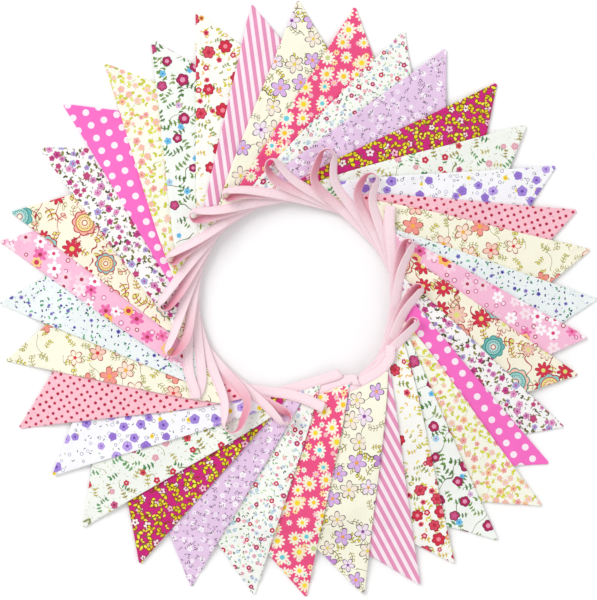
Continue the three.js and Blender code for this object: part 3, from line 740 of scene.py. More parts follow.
# The eighteen printed cottons: the ground's colour, then layers of motifs with their sizes in millimetres
# and their inks. Where an output has several inks, each flower or sprig takes one of them.
prints = {
    "creamLilac": {"ground": "fbf9e3", "layers": (
        ("vine", {"Size": 26, "Line": 0.36, "Seed": 4.4}, {"Vine": "6b6340"}),
        ("sprig", {"Cell": 14, "Jitter": 0.7, "Length": 5.0, "Width": 3.2, "Step": 4.0, "Line": 0.36,
                   "Share": 0.7, "Seed": 3.1},
         {"Leaves": "f6f0c0 ead95f f8f4d6", "Rim": "5f5a3c", "Stem": "5f5a3c"}),
        ("bloom", {"Cell": 21, "Jitter": 0.5, "Radius": 9.8, "Depth": 0.58, "Core": 1.9, "Line": 0.45,
                   "Vary": 0.3, "Share": 0.75, "Seed": 8.2},
         {"Petals": "dcb6e8 f3e3f0 c58fd2 f6ead8", "Veins": "a06bb4", "Rim": "4f3a55",
          "Centre": "efa245 8d4b9b e9d34c"}),
    )},
    "daisy": {"ground": "ec4f84", "layers": (
        ("bloom", {"Cell": 9.5, "Jitter": 0.5, "Radius": 3.9, "Count": 7, "Depth": 0.5, "Core": 1.1,
                   "Share": 0.66, "Seed": 2.3},
         {"Petals": "f9e6a0 f9c3d3 fdf3e0", "Centre": "e9467e f2c443 7cc9c4"}),
        ("bloom", {"Cell": 16, "Jitter": 0.35, "Radius": 8.4, "Count": 10, "Depth": 0.48, "Core": 2.8,
                   "Share": 0.94, "Seed": 5.7},
         {"Petals": "fdf4e0 fbeccc fdf6e4 f6f0da", "Centre": "fadb2c fadb2c 6fd0dc ccd890 fbc92a"}),
    )},
    "tinyMulti": {"ground": "f8f9f3", "layers": (
        ("sprig", {"Cell": 5.2, "Jitter": 0.8, "Length": 2.2, "Width": 1.2, "Pairs": 0, "Line": 0.1,
                   "Share": 0.8, "Seed": 1.2},
         {"Leaves": "a8d08a 6fae6a 3a3a44 b9dba0"}),
        ("sprig", {"Cell": 6.3, "Jitter": 0.8, "Length": 1.9, "Width": 1.2, "Pairs": 0, "Line": 0.1,
                   "Share": 0.8, "Seed": 5.6},
         {"Leaves": "33323a 9ecbe0 5b3f52 4f9a58"}),
        ("bloom", {"Cell": 7.2, "Jitter": 0.7, "Radius": 2.3, "Depth": 0.3, "Core": 0.7, "Share": 0.75,
                   "Seed": 6.6},
         {"Petals": "f0a3bd a5cbe8 d58bb4 f5c4d2 b9d8ee", "Centre": "fbe9a0 d0628c"}),
        ("bloom", {"Cell": 16, "Jitter": 0.8, "Radius": 2.9, "Depth": 0.12, "Core": 1.0, "Share": 0.75,
                   "Vary": 0.3, "Seed": 3.8},
         {"Petals": "c8234a b32a5e", "Centre": "fdeef2 f6b9c9"}),
    )},
    "lilacDitsy": {"ground": "e9cbea", "layers": (
        ("bloom", {"Cell": 9.4, "Jitter": 0.6, "Radius": 3.4, "Depth": 0.3, "Core": 0.6, "Share": 0.75,
                   "Seed": 3.9},
         {"Petals": "fdf7fc f5e6f6", "Centre": "c9a0d2"}),
        ("sprig", {"Cell": 8.6, "Jitter": 0.8, "Length": 2.3, "Width": 0.9, "Step": 2.0, "Line": 0.02,
                   "Share": 0.8, "Seed": 7.3},
         {"Leaves": "3f2b48 5a3a58"}),
        ("sprig", {"Cell": 6.2, "Jitter": 0.8, "Length": 1.9, "Width": 0.9, "Pairs": 0, "Line": 0.02,
                   "Share": 0.7, "Seed": 2.7},
         {"Leaves": "4b2f55 8a68a6 3a2a3c"}),
    )},
    "magentaYellow": {"ground": "cd1f7c", "layers": (
        ("vine", {"Size": 13, "Line": 0.6, "Share": 0.7, "Seed": 1.4}, {"Vine": "8f3418"}),
        ("bloom", {"Cell": 13, "Jitter": 0.6, "Radius": 4.6, "Depth": 0.4, "Core": 1.1, "Line": 0.36,
                   "Share": 0.7, "Seed": 9.2},
         {"Petals": "fbdce6 f6b6cf fdf0ea", "Rim": "7d1d3f", "Centre": "7a1c38"}),
        ("sprig", {"Cell": 9.2, "Jitter": 0.7, "Length": 7.0, "Width": 4.3, "Pairs": 0, "Line": 0.6,
                   "Share": 0.85, "Seed": 4.8},
         {"Leaves": "eee31e f3ec4a dccf18", "Rim": "8f3a14", "Stem": "5a6a1c"}),
        ("sprig", {"Cell": 10, "Jitter": 0.7, "Length": 5.8, "Width": 3.6, "Pairs": 0, "Line": 0.5,
                   "Share": 0.8, "Seed": 2.6},
         {"Leaves": "f3ec4a e4d822", "Rim": "8f3a14", "Stem": "8f3a14"}),
    )},
    "paleSprays": {"ground": "f5f8f0", "layers": (
        ("sprig", {"Cell": 4.6, "Jitter": 0.8, "Length": 1.5, "Width": 0.8, "Pairs": 0, "Share": 0.5,
                   "Seed": 3.8},
         {"Leaves": "a3b59a c9b98f b0a8a0"}),
        ("vine", {"Line": 0.34, "Seed": 6.2}, {"Vine": "8a8f55"}),
        ("sprig", {"Jitter": 0.7, "Length": 5.0, "Width": 2.6, "Step": 4.0, "Line": 0.22, "Share": 0.7,
                   "Seed": 2.7},
         {"Leaves": "3f8a4e a79a4c 5fa566 c9bd6c", "Stem": "6f7a44"}),
        ("bloom", {"Cell": 16, "Jitter": 0.7, "Radius": 4.2, "Depth": 0.24, "Core": 1.1, "Line": 0.34,
                   "Share": 0.6, "Seed": 5.1},
         {"Petals": "cf2f48 e8b0bc c95a8a d94a54", "Veins": "9c2438", "Centre": "f3c4cd 8f1f34"}),
    )},
    "purpleRoses": {"ground": "faf9fd", "layers": (
        ("sprig", {"Cell": 6.4, "Jitter": 0.8, "Length": 2.0, "Width": 1.0, "Pairs": 0, "Share": 0.6,
                   "Seed": 8.8},
         {"Leaves": "8fae8a 5a5a78 b9c9a4 4a4660"}),
        ("bloom", {"Cell": 8.4, "Jitter": 0.7, "Radius": 1.7, "Count": 4, "Depth": 0.0, "Core": 0.5,
                   "Line": 0.24, "Share": 0.62, "Seed": 3.3},
         {"Rim": "77749a 9d9ac4 5f5c80"}),
        ("bloom", {"Cell": 17, "Jitter": 0.6, "Radius": 2.7, "Depth": 0.15, "Core": 1.0, "Share": 0.4,
                   "Seed": 6.3},
         {"Petals": "f5dc3f f7e67c", "Centre": "e0a52a"}),
        ("bloom", {"Cell": 13.5, "Jitter": 0.6, "Radius": 5.6, "Depth": 0.16, "Core": 1.5, "Line": 0.4,
                   "Share": 0.66, "Seed": 1.9},
         {"Petals": "a88bdd c2a6ea 9a78d4", "Veins": "7a55bd", "Centre": "6f4ab4 8f6cc9"}),
    )},
    "pinkDots": {"ground": "fbc2cf", "layers": (
        ("bloom", {"Cell": 4.6, "Jitter": 0.9, "Radius": 0.6, "Count": 4, "Depth": 0.0, "Core": 0.1,
                   "Share": 0.5, "Seed": 2.1},
         {"Petals": "d29aa8 fdeef2 fbdbe2"}),
        ("bloom", {"Cell": 6.9, "Jitter": 0.26, "Radius": 1.7, "Depth": 0.12, "Core": 0.4, "Vary": 0.12,
                   "Seed": 7.7},
         {"Petals": "b51f45 c32a4e"}),
    )},
    "creamRed": {"ground": "fbf8e2", "layers": (
        ("vine", {"Line": 0.36, "Share": 0.55, "Seed": 7.2}, {"Vine": "8a7a45"}),
        ("sprig", {"Jitter": 0.7, "Length": 5.0, "Width": 3.0, "Step": 3.8, "Line": 0.34, "Share": 0.72,
                   "Seed": 5.5},
         {"Leaves": "f8f1cf efe07a e0dc9a", "Rim": "85823c", "Stem": "85823c"}),
        ("bloom", {"Cell": 21, "Jitter": 0.5, "Radius": 9.8, "Depth": 0.55, "Core": 2.1, "Vary": 0.25,
                   "Share": 0.68, "Seed": 9.9},
         {"Petals": "fbe3cf f49a8e fdf3dc f9cdbb", "Veins": "e0505c", "Rim": "a8403a",
          "Centre": "f0b040 d9363e"}),
    )},
    "blueDitsy": {"ground": "eff6f5", "layers": (
        ("bloom", {"Cell": 5.4, "Jitter": 0.8, "Radius": 0.8, "Count": 6, "Depth": 0.1, "Core": 0.3,
                   "Share": 0.6, "Seed": 2.8},
         {"Petals": "c3d3dc b9c4dc d5dfe4"}),
        ("sprig", {"Cell": 6.2, "Jitter": 0.85, "Length": 2.0, "Width": 1.5, "Pairs": 0, "Share": 0.6,
                   "Seed": 4.1},
         {"Leaves": "2c2a63 27356f 4a4a9c"}),
        ("sprig", {"Cell": 9.5, "Jitter": 0.8, "Length": 2.9, "Width": 1.7, "Pairs": 0, "Share": 0.66,
                   "Seed": 7.5},
         {"Leaves": "27965a 4fb074 2f8a5b"}),
        ("bloom", {"Jitter": 0.9, "Radius": 2.4, "Depth": 0.25, "Core": 0.7, "Line": 0.2, "Share": 0.42,
                   "Seed": 8.5},
         {"Petals": "7f7ac8 5a52b0 9a84cf", "Centre": "34307f"}),
    )},
    "pinkRetro": {"ground": "fabfda", "layers": (
        ("bloom", {"Cell": 10, "Jitter": 0.6, "Radius": 2.3, "Count": 4, "Depth": 0.0, "Core": 0.8,
                   "Line": 0.45, "Share": 0.66, "Seed": 3.7},
         {"Petals": "fde6ee", "Rim": "b3244a c95a90 d76a98"}),
        ("bloom", {"Cell": 15, "Jitter": 0.5, "Radius": 8.0, "Count": 6, "Depth": 0.48, "Core": 2.1,
                   "Line": 0.4, "Share": 0.82, "Seed": 1.1},
         {"Petals": "fffafc f07db4 fde6ee fffafc f06fae f9d3e2", "Centre": "e0457c f7c9d8 b3304f"}),
        ("bloom", {"Cell": 34, "Jitter": 0.6, "Radius": 7.4, "Count": 6, "Depth": 0.3, "Core": 2.6,
                   "Share": 0.6, "Seed": 6.1},
         {"Petals": "fbbf5c fbcf8d", "Centre": "e0344f d9405e", "Eye": "c0284f"}),
    )},
    "folkFlower": {"ground": "fbf5df", "layers": (
        ("vine", {"Size": 20, "Line": 0.6, "Share": 0.7, "Seed": 2.2}, {"Vine": "b2283f"}),
        ("sprig", {"Cell": 15, "Jitter": 0.7, "Length": 7.0, "Width": 4.3, "Step": 5.0, "Line": 0.5,
                   "Share": 0.66, "Seed": 7.9},
         {"Leaves": "dfe27a f3c9b4 f8efd5", "Rim": "b2283f 8f9a3c", "Stem": "b2283f"}),
        ("bloom", {"Cell": 22, "Jitter": 0.5, "Radius": 10.4, "Count": 8, "Depth": 0.5, "Core": 2.6,
                   "Share": 0.7, "Seed": 4.6},
         {"Petals": "d5304a f8efd5 f3c9b4 d5304a", "Rim": "a82038", "Centre": "dfe07a"}),
        ("bloom", {"Cell": 33, "Jitter": 0.35, "Radius": 15.0, "Count": 8, "Depth": 0.16, "Core": 10.4,
                   "Line": 0.55, "Share": 0.9, "Seed": 9.4},
         {"Petals": "6fb8b3 f8c3ad f8efd5 f5b3a0 8fcac4", "Rim": "3f8f8c b2283f b2283f",
          "Centre": "9fd3cd fbd9c4 efe38a", "Eye": "3f8f8c c9565f"}),
        ("bloom", {"Cell": 33, "Jitter": 0.35, "Radius": 7.5, "Count": 14, "Depth": 0.3, "Core": 3.0,
                   "Line": 0.45, "Share": 0.9, "Seed": 9.4},
         {"Petals": "bfe3de f5a898 fbe9b5", "Rim": "3f8f8c c9565f", "Centre": "fdf6e0", "Eye": "b2283f"}),
    )},
    "tinyRoses": {"ground": "faf8f6", "layers": (
        ("sprig", {"Cell": 5.0, "Jitter": 0.85, "Length": 2.3, "Width": 1.1, "Pairs": 0, "Line": 0.12,
                   "Share": 0.75, "Seed": 1.5},
         {"Leaves": "4c4638 33323a 8a7a8c"}),
        ("sprig", {"Cell": 7.4, "Jitter": 0.8, "Length": 4.2, "Width": 2.6, "Pairs": 0, "Line": 0.2,
                   "Share": 0.88, "Seed": 5.9},
         {"Leaves": "6a6a24 4a4a22 8a8a3a", "Stem": "4c4638"}),
        ("bloom", {"Cell": 9.0, "Jitter": 0.8, "Radius": 4.4, "Depth": 0.3, "Core": 1.0, "Line": 0.4,
                   "Vary": 0.5, "Share": 0.84, "Seed": 2.6},
         {"Petals": "d98bc0 c9458a a9a6dc e6a0cc c44a78", "Veins": "93306f", "Centre": "8f2f66 c9458a"}),
    )},
    "polka": {"ground": "fb6fc8", "turn": 0.6, "layers": (
        ("bloom", {"Cell": 13.8, "Jitter": 0.0, "Radius": 3.35, "Count": 4, "Depth": 0.0, "Core": 0.1,
                   "Vary": 0.0},
         {"Petals": "fdeef7"}),
    )},
    "yellowFloral": {"ground": "fbfaea", "layers": (
        ("vine", {"Size": 20, "Share": 0.55, "Seed": 3.4}, {"Vine": "b8b858"}),
        ("sprig", {"Cell": 7.0, "Jitter": 0.75, "Length": 4.6, "Width": 2.6, "Pairs": 0, "Line": 0.18,
                   "Share": 0.9, "Seed": 6.9},
         {"Leaves": "e6e43c f0ee7a d0d23a", "Rim": "b0b040", "Stem": "b0b040"}),
        ("bloom", {"Cell": 9.6, "Jitter": 0.7, "Radius": 4.1, "Depth": 0.28, "Core": 1.0, "Line": 0.26,
                   "Vary": 0.45, "Share": 0.72, "Seed": 8.1},
         {"Petals": "f5bdb6 f9d3cc f7c59a f2aaa8", "Veins": "e08f88", "Centre": "f4d070 d9736a"}),
    )},
    "roseVine": {"ground": "f6f9f4", "layers": (
        ("vine", {"Size": 26, "Line": 0.42, "Share": 0.85, "Seed": 5.2}, {"Vine": "66754a"}),
        ("sprig", {"Jitter": 0.7, "Length": 5.4, "Width": 2.9, "Step": 4.4, "Line": 0.24, "Share": 0.75,
                   "Seed": 1.7},
         {"Leaves": "6f9a45 4a8a44 8fa85c 4f7a3c", "Stem": "5b6f42"}),
        ("bloom", {"Cell": 19, "Jitter": 0.7, "Radius": 3.9, "Depth": 0.25, "Core": 1.0, "Share": 0.5,
                   "Seed": 7.4},
         {"Petals": "6fbfe6 e3b0d4 a9d4ee d9a0c8", "Centre": "3f8fce c07aa8"}),
        ("bloom", {"Cell": 18, "Jitter": 0.6, "Radius": 6.2, "Depth": 0.18, "Core": 2.6, "Vary": 0.4,
                   "Share": 0.6, "Seed": 4.2},
         {"Petals": "b5255f c94a80", "Veins": "7a173f", "Rim": "7f1c48", "Centre": "e79ab8 d2588c"}),
    )},
    "redRose": {"ground": "fbfaf4", "layers": (
        ("sprig", {"Cell": 7.4, "Jitter": 0.85, "Length": 3.4, "Width": 1.9, "Pairs": 0, "Line": 0.14,
                   "Share": 0.6, "Seed": 9.1},
         {"Leaves": "ead94f d4c860 a8a864 efc070"}),
        ("sprig", {"Cell": 13, "Jitter": 0.7, "Length": 4.6, "Width": 2.5, "Step": 3.6, "Line": 0.2,
                   "Share": 0.72, "Seed": 2.4},
         {"Leaves": "d9cf40 8fa048 e3c04a", "Stem": "8d8a3c"}),
        ("bloom", {"Cell": 15, "Jitter": 0.7, "Radius": 3.4, "Depth": 0.2, "Core": 1.4, "Line": 0.3,
                   "Share": 0.5, "Seed": 3.6},
         {"Petals": "c92a44 e9a23a e2506a", "Centre": "f3c4cd 9c1c38"}),
        ("bloom", {"Cell": 18, "Jitter": 0.7, "Radius": 7.4, "Count": 6, "Depth": 0.24, "Core": 2.4,
                   "Vary": 0.4, "Share": 0.6, "Seed": 6.4},
         {"Petals": "d42b46 de4a62", "Veins": "a3182f", "Rim": "a8223c", "Centre": "f08a9a c22540"}),
    )},
    "stripe": {"ground": "fcecf3", "layers": (
        ("band", {"Pitch": 7.6, "Width": 3.9, "Slant": 0.1}, {"Band": "e895bd"}),
    )},
}


# Printed cotton poplin: a dull, fine plain weave whose inks sink in, so nothing on it is glossy.
# Its threads are 0.3 mm apart; they are drawn 1.1 mm apart, as fine as still shows.
poplin = {
    "thread": 1.1,
    "threadHeight": 0.00006,
    "creaseLength": 17.0,
    "creaseHeight": 0.0015,
    "roughness": (0.78, 0.92),
    "sheen": 0.12,
    "fade": 0.05,  # how much the ground varies from place to place
    "uvSize": 500.0,  # millimetres to one unit of the cloth's plan
}


def emptyMaterial(name):
    material = bpy.data.materials.new(name)
    material.use_nodes = True
    material.node_tree.nodes.clear()
    return material, material.node_tree


# A plain weave over the wire named, with threads both ways
def weaveRows(plan, thread):
    turn = 2 * math.pi / thread
    return (
        ("fine", "VectorMath", "MULTIPLY", plan, (turn, turn, 0)),
        ("threads", "SeparateXYZ", {}, "fine"),
        ("warp", "Math", "SINE", "threads.X"),
        ("weft", "Math", "SINE", "threads.Y"),
        ("weave", "Math", "MULTIPLY", "warp", "weft"),
    )


# What both cottons share: the rows for slubs, fading and roughness, and then the relief and the shader
def cottonRows(spec, slub, detail):
    least, most = spec["roughness"]
    return (
        ("coarse", "VectorMath", "MULTIPLY", "plan", (1 / spec["creaseLength"],) * 3),
        ("crease", "TexNoise", {"noise_dimensions": "2D"}, {"Vector": "coarse", "Scale": 1.0, **detail}),
        ("slub", "TexNoise", {"noise_dimensions": "2D"}, {"Vector": "plan", "Scale": slub, "Detail": 1.0}),
        ("fading", "MapRange", {},
         {"Value": "slub.Fac", "From Min": 0.3, "From Max": 0.7, "To Min": 1 - spec["fade"], "To Max": 1.0}),
        ("rough", "MapRange", {}, {"Value": "slub.Fac", "To Min": least, "To Max": most}),
    )


def finishCotton(tree, wires, spec, colour):
    faded = addNode(tree, "ShaderNodeMix", {0: 1.0, 6: colour, 7: wires["fading"]},
                    data_type="RGBA", blend_type="MULTIPLY")
    creased = addNode(tree, "ShaderNodeBump", {
        "Height": wires["crease.Fac"], "Strength": 0.6, "Distance": spec["creaseHeight"]})
    woven = addNode(tree, "ShaderNodeBump", {
        "Height": wires["weave"], "Strength": 0.5, "Distance": spec["threadHeight"],
        "Normal": creased.outputs[0]})
    shade = addNode(tree, "ShaderNodeBsdfPrincipled", {
        "Base Color": faded.outputs[2], "Roughness": wires["rough"], "Normal": woven.outputs[0],
        "Sheen Weight": spec["sheen"], "Sheen Roughness": 0.5, "IOR": 1.5, "Specular IOR Level": 0.3,
    })
    addNode(tree, "ShaderNodeOutputMaterial", {"Surface": shade.outputs[0]})


def printedPoplin(name, spec):
    material, tree = emptyMaterial(f"printedPoplin_{name}")
    size = poplin["uvSize"]
    wires = addRows(tree, {}, (
        ("uv", "UVMap", {"uv_map": "clothPlan"}),
        ("plan", "VectorMath", "MULTIPLY", "uv", (size, size, 0)),
        *weaveRows("plan", poplin["thread"]),
        *cottonRows(poplin, 0.9, {"Detail": 3.0, "Roughness": 0.45}),
    ))
    colour = linearColour(spec["ground"])
    for motif, inputs, inks in spec["layers"]:
        turned = addNode(tree, "ShaderNodeVectorRotate",
                         {"Vector": wires["plan"], "Angle": spec.get("turn", 0.0)}, rotation_type="Z_AXIS")
        shape = addNode(tree, "ShaderNodeGroup", {"Vector": turned.outputs[0], **inputs},
                        node_tree=motifTrees[motif])
        for output, codes in inks.items():
            codes = codes.split()
            ink = linearColour(codes[0])
            if len(codes) > 1:
                ramp = addNode(tree, "ShaderNodeValToRGB", {0: shape.outputs["Pick"]})
                ramp.color_ramp.interpolation = "CONSTANT"
                while len(ramp.color_ramp.elements) < len(codes):
                    ramp.color_ramp.elements.new(1.0)
                for k, code in enumerate(codes):
                    ramp.color_ramp.elements[k].position = k / len(codes)
                    ramp.color_ramp.elements[k].color = linearColour(code)
                ink = ramp.outputs[0]
            inked = addNode(tree, "ShaderNodeMix", {0: shape.outputs[output], 6: colour, 7: ink},
                            data_type="RGBA")
            colour = inked.outputs[2]
    finishCotton(tree, wires, poplin, colour)
    return material


# Folded cotton bias tape: smoother and a little closer than the flags, with its threads crossing at 45
# degrees.
# Inside its loops the light passing through and off the cloth makes a deeper pink, painted here into its
# colour.
biasTape = {
    "colour": "fbe2e9",
    # inside: the deeper pink painted as shade and bounce light on a loop's inner faces
    "inside": "e690a6",
    "edge": 0.6,  # how much painted shade pink its folded edges have, where strands lie side by side
    "shadeDeepens": 1.3,  # power by which the painted shade deepens as the tape stands up
    "thread": 1.0,
    "threadHeight": 0.00005,
    "creaseLength": 9.0,  # the puckers along its stitching
    "creaseHeight": 0.0005,
    "roughness": (0.7, 0.86),
    "sheen": 0.15,
    "fade": 0.04,
    "uvAcross": 20.0,  # millimetres to one unit of the tape's plan, across it and along it
    "uvAlong": 10000.0,
}


def biasCotton():
    material, tree = emptyMaterial("foldedBiasCotton")
    wires = addRows(tree, {}, (
        ("uv", "UVMap", {"uv_map": "clothPlan"}),
        ("plan", "VectorMath", "MULTIPLY", "uv", (biasTape["uvAcross"], biasTape["uvAlong"], 0)),
        ("slant", "VectorRotate", {"rotation_type": "Z_AXIS"}, {"Vector": "plan", "Angle": math.pi / 4}),
        *weaveRows("slant", biasTape["thread"]),
        *cottonRows(biasTape, 0.5, {"Detail": 2.0}),
        # painted shade: the colour is mixed towards the deeper pink on loops' inner faces and folded edges
        ("deep", "Attribute", {"attribute_name": "loopInside"}),
        ("ink", "Mix", {"data_type": "RGBA"},
         {0: "deep.Fac", 6: linearColour(biasTape["colour"]), 7: linearColour(biasTape["inside"])}),
    ))
    finishCotton(tree, wires, biasTape, wires["ink.2"])
    return material


def paintedBoard(name, code):
    material = bpy.data.materials.new(name)
    material.use_nodes = True
    shade = material.node_tree.nodes["Principled BSDF"]
    shade.inputs["Base Color"].default_value = linearColour(code)
    shade.inputs["Roughness"].default_value = 0.8
    return material


cloths = {name: printedPoplin(name, spec) for name, spec in prints.items()}
cloths["tape"] = biasCotton()
print("materials:", len(cloths))


def ripples(x, y, seed):
    draw = np.random.default_rng(seed)
    total = np.zeros_like(x)
    for k in range(pennantCut["rippleWaves"]):
        angle, phase = draw.uniform(0, 2 * math.pi, 2)
        length = pennantCut["rippleLength"] * draw.uniform(*pennantCut["rippleVaries"])
        total += np.sin((x * math.cos(angle) + y * math.sin(angle)) * 2 * math.pi / length + phase)
    return total / pennantCut["rippleWaves"] * pennantCut["ripple"] * 2


# Creases left from folding: straight soft ridges across the pennant, over part of their length only
def creasesAt(x, y, length, seed):
    draw = np.random.default_rng(seed)
    total = np.zeros_like(x)
    for k in range(pennantCut["creases"]):
        angle = draw.uniform(-pennantCut["creaseTurn"], pennantCut["creaseTurn"])
        place = draw.uniform(*pennantCut["creasePlace"]) * length
        height, width = draw.uniform(*pennantCut["creaseHeight"]), draw.uniform(*pennantCut["creaseWidth"])
        middle = draw.uniform(-pennantCut["creaseOff"], pennantCut["creaseOff"])
        reach = draw.uniform(*pennantCut["creaseReach"])
        away = (y - place) * math.cos(angle) - x * math.sin(angle)
        along = x * math.cos(angle) + (y - place) * math.sin(angle) - middle
        total += height * (-1) ** k * np.exp(-((away / width) ** 2) - (along / reach) ** 2)
    return total


def makePennant(unit):
    plan, cloth = plans[unit], pennants[unit][0]
    rows, columns = pennantCut["rows"], pennantCut["columns"]
    length, half = plan["length"], pennantCut["width"] / 2
    last, *tipRows = pennantCut["tipRows"]
    down = np.concatenate([[-pennantCut["tuckIn"], 0.0], np.linspace(0, 1, rows + 1)[1:-1] * (length - last),
                           [length - step for step in (*tipRows, 0)]])
    share = np.clip(down / length, 0, 1)
    bow = 4 * share * (1 - share) * pennantCut["sideBow"]
    halves = half * (1 - share) + pennantCut["tipWidth"] / 2 * share - bow
    halves = np.maximum(halves, pennantCut["tipWidth"] / 2 * pennantCut["tipLeast"])
    edges = np.array([step for step, thick in pennantCut["edgeSteps"]])
    thicks = np.array([thick for step, thick in pennantCut["edgeSteps"]])
    across, depths = [], []
    for row, width in zip(down, halves):
        scale = min(1.0, width / pennantCut["edgeNarrows"])
        left = -width + edges * scale
        middle = np.linspace(left[-1], -left[-1], columns + 1)[1:-1]
        line = np.concatenate([left, middle, -left[::-1]])
        plain = np.full(len(middle), pennantCut["thick"] / pennantCut["seamThick"])
        depth = np.concatenate([thicks, plain, thicks[::-1]])
        across.append(line)
        depths.append(depth)
    across, depths = np.array(across), np.array(depths)
    atTip = (length - down)[:, None] < pennantCut["tipSeam"]
    depths = np.where(atTip, np.maximum(depths, np.minimum(1, depths + pennantCut["tipThicker"])), depths)
    depths[-2:] = np.minimum(depths[-2:], np.array(pennantCut["tipThins"])[:, None])
    fading = np.clip(1 - down / pennantCut["bowReach"], 0, 1)[:, None] ** 2
    inwards = bowAt(unit, across + half) * fading - down[:, None]
    x = plan["middle"][0] + plan["inward"][0] * inwards + plan["across"][0] * across
    y = plan["middle"][1] + plan["inward"][1] * inwards + plan["across"][1] * across
    base = heightAt(unit, x, y) + pennantCut["slab"] / 2
    fade = np.clip(down / pennantCut["rippleFades"], 0, 1)[:, None]
    seeds, downAll = pennantCut["seeds"], down[:, None] + 0 * across
    centre = base + ripples(across, downAll, unit + seeds["ripple"]) * fade
    centre = centre + creasesAt(across, downAll, length, unit + seeds["crease"])
    centre = np.maximum(centre, pennantCut["slab"] / 2 + layout["clear"])
    thickness = depths * pennantCut["seamThick"]
    top = np.stack([x, y, centre + thickness / 2], -1).reshape(-1, 3)
    bottom = np.stack([x, y, centre - thickness / 2], -1).reshape(-1, 3)
    rowsMade, wide = across.shape
    total = rowsMade * wide
    grid = np.arange(total).reshape(rowsMade, wide).tolist()
    faces = []
    for r in range(rowsMade - 1):
        for c in range(wide - 1):
            quad = (grid[r][c], grid[r + 1][c], grid[r + 1][c + 1], grid[r][c + 1])
            faces.append(quad)
            faces.append(tuple(total + v for v in reversed(quad)))
    rim = grid[0] + [row[-1] for row in grid[1:]]
    rim += grid[-1][-2::-1] + [row[0] for row in grid[-2:0:-1]]
    for a, b in zip(rim, rim[1:] + rim[:1]):
        faces.append((a, b, total + b, total + a))
    draw = np.random.default_rng(seeds["print"] + unit)
    shiftU, shiftV = draw.uniform(-pennantCut["printShift"], pennantCut["printShift"], 2)
    printU = 0.5 + (across.ravel() + shiftU) / poplin["uvSize"]
    printV = 0.5 + (np.repeat(down, wide) - pennantCut["printMiddle"] + shiftV) / poplin["uvSize"]
    uvs = np.tile(np.stack([printU, printV], 1), (2, 1))
    name = f"flag_{unit + 1:02d}"
    piece = meshPiece(name, inFrame(np.concatenate([top, bottom])), faces, cloths[cloth], uvs)
    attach(piece, "root")
    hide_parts(f"pennant_{unit + 1:02d}")
    return piece


flags = [makePennant(unit) for unit in range(units)]
print("pennants:", len(flags), "pieces,", sum(len(flag.data.polygons) for flag in flags), "faces")


# The tape's sections in space: middle, the way across it, the way out of its face and the way along it
def tapeFrames():
    half, thick = halfTape, tapeCut["thick"]
    point, width = (np.array([stop[key] for stop in route]) for key in ("point", "width"))
    low, high = (np.array([stop[key] for stop in route]) for key in ("low", "high"))
    mix, lean = (np.array([stop[key] for stop in route], float) for key in ("mix", "lean"))
    edges = []
    for side in (1, -1):  # the edge with the pennants, which stays down, then the one next to the hole
        out = side * half * np.cos(lean)
        x, y = point[:, 0] + width[:, 0] * out, point[:, 1] + width[:, 1] * out
        lowZ, highZ = heightAt(low, x, y), heightAt(high, x, y)
        z = lowZ * (1 - mix) + highZ * mix + half * (1 - side) * np.sin(lean) + np.cos(lean) * thick / 2
        for i, stop in enumerate(route):
            if stop["fold"] is not None:
                angle, heading = stop["fold"]
                radius = max(tapeCut["foldRadius"], (highZ[i] - lowZ[i]) / 2)
                x[i] += heading[0] * radius * math.sin(angle)
                y[i] += heading[1] * radius * math.sin(angle)
                z[i] = (lowZ[i] + highZ[i]) / 2 + thick / 2 - radius * math.cos(angle)
        edges.append(np.stack([x, y, z], 1))
    centre = (edges[0] + edges[1]) / 2
    across = edges[0] - edges[1]
    across /= np.linalg.norm(across, axis=1)[:, None]
    tangent = np.gradient(centre, axis=0)
    tangent /= np.linalg.norm(tangent, axis=1)[:, None]
    normal = np.cross(tangent, across)
    normal /= np.linalg.norm(normal, axis=1)[:, None]
    return centre, across, normal, tangent


# How deep the painted shade pink is on each face of the tape: a loop's inner side is the right-hand one all
# the way round
def loopShadeDepths(tangent, normal):
    lean = np.array([stop["lean"] for stop in route])
    most = math.sin(math.radians(tapeCut["leanLoop"]))
    inwards = tangent[:, 1] * normal[:, 0] - tangent[:, 0] * normal[:, 1]
    return np.clip(np.sin(lean) / most, 0, 1) ** biasTape["shadeDeepens"] * np.sign(inwards)


def makeTape():
    centre, across, normal, tangent = tapeFrames()
    half, depth = halfTape, tapeCut["thick"] / 2
    profile = [*tapeCut["profile"], *((-a, -b) for a, b in tapeCut["profile"])]
    count, around = len(centre), len(profile)
    points = np.zeros((count, around, 3))
    for k, (a, b) in enumerate(profile):
        points[:, k] = centre + across * a * half + normal * b * depth
    points = points.reshape(-1, 3)
    points[:, 2] = np.maximum(points[:, 2], layout["clear"])
    faces = []
    for i in range(count - 1):
        for k in range(around):
            a, b = i * around + k, i * around + (k + 1) % around
            faces.append((a, b, b + around, a + around))
    faces.append(tuple(reversed(range(around))))
    faces.append(tuple((count - 1) * around + k for k in range(around)))
    travelled = np.concatenate([[0], np.cumsum(np.linalg.norm(np.diff(centre, axis=0), axis=1))])
    print("tape:", round(travelled[-1] / 1000, 3), "m in", count, "sections,", len(faces), "faces")
    alongTape = np.repeat(travelled, around)
    acrossTape = np.tile([a * half for a, b in profile], count)
    uvs = np.stack([acrossTape / biasTape["uvAcross"] + 0.5, alongTape / biasTape["uvAlong"]], 1)
    # painted shade: the loops' inner faces take the deeper pink more as the tape stands up
    inside = np.maximum(0, np.outer(loopShadeDepths(tangent, normal), [b for a, b in profile]))
    # painted shade: the folded edges take part of the deeper pink, as the shade where strands meet
    inside = np.maximum(inside, [biasTape["edge"] if abs(a) == 1 else 0 for a, b in profile]).ravel()
    piece = meshPiece("folded_tape", inFrame(points), faces, cloths["tape"], uvs, {"loopInside": inside})
    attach(piece, "root")
    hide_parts("bias_tape")
    return piece


tape = makeTape()

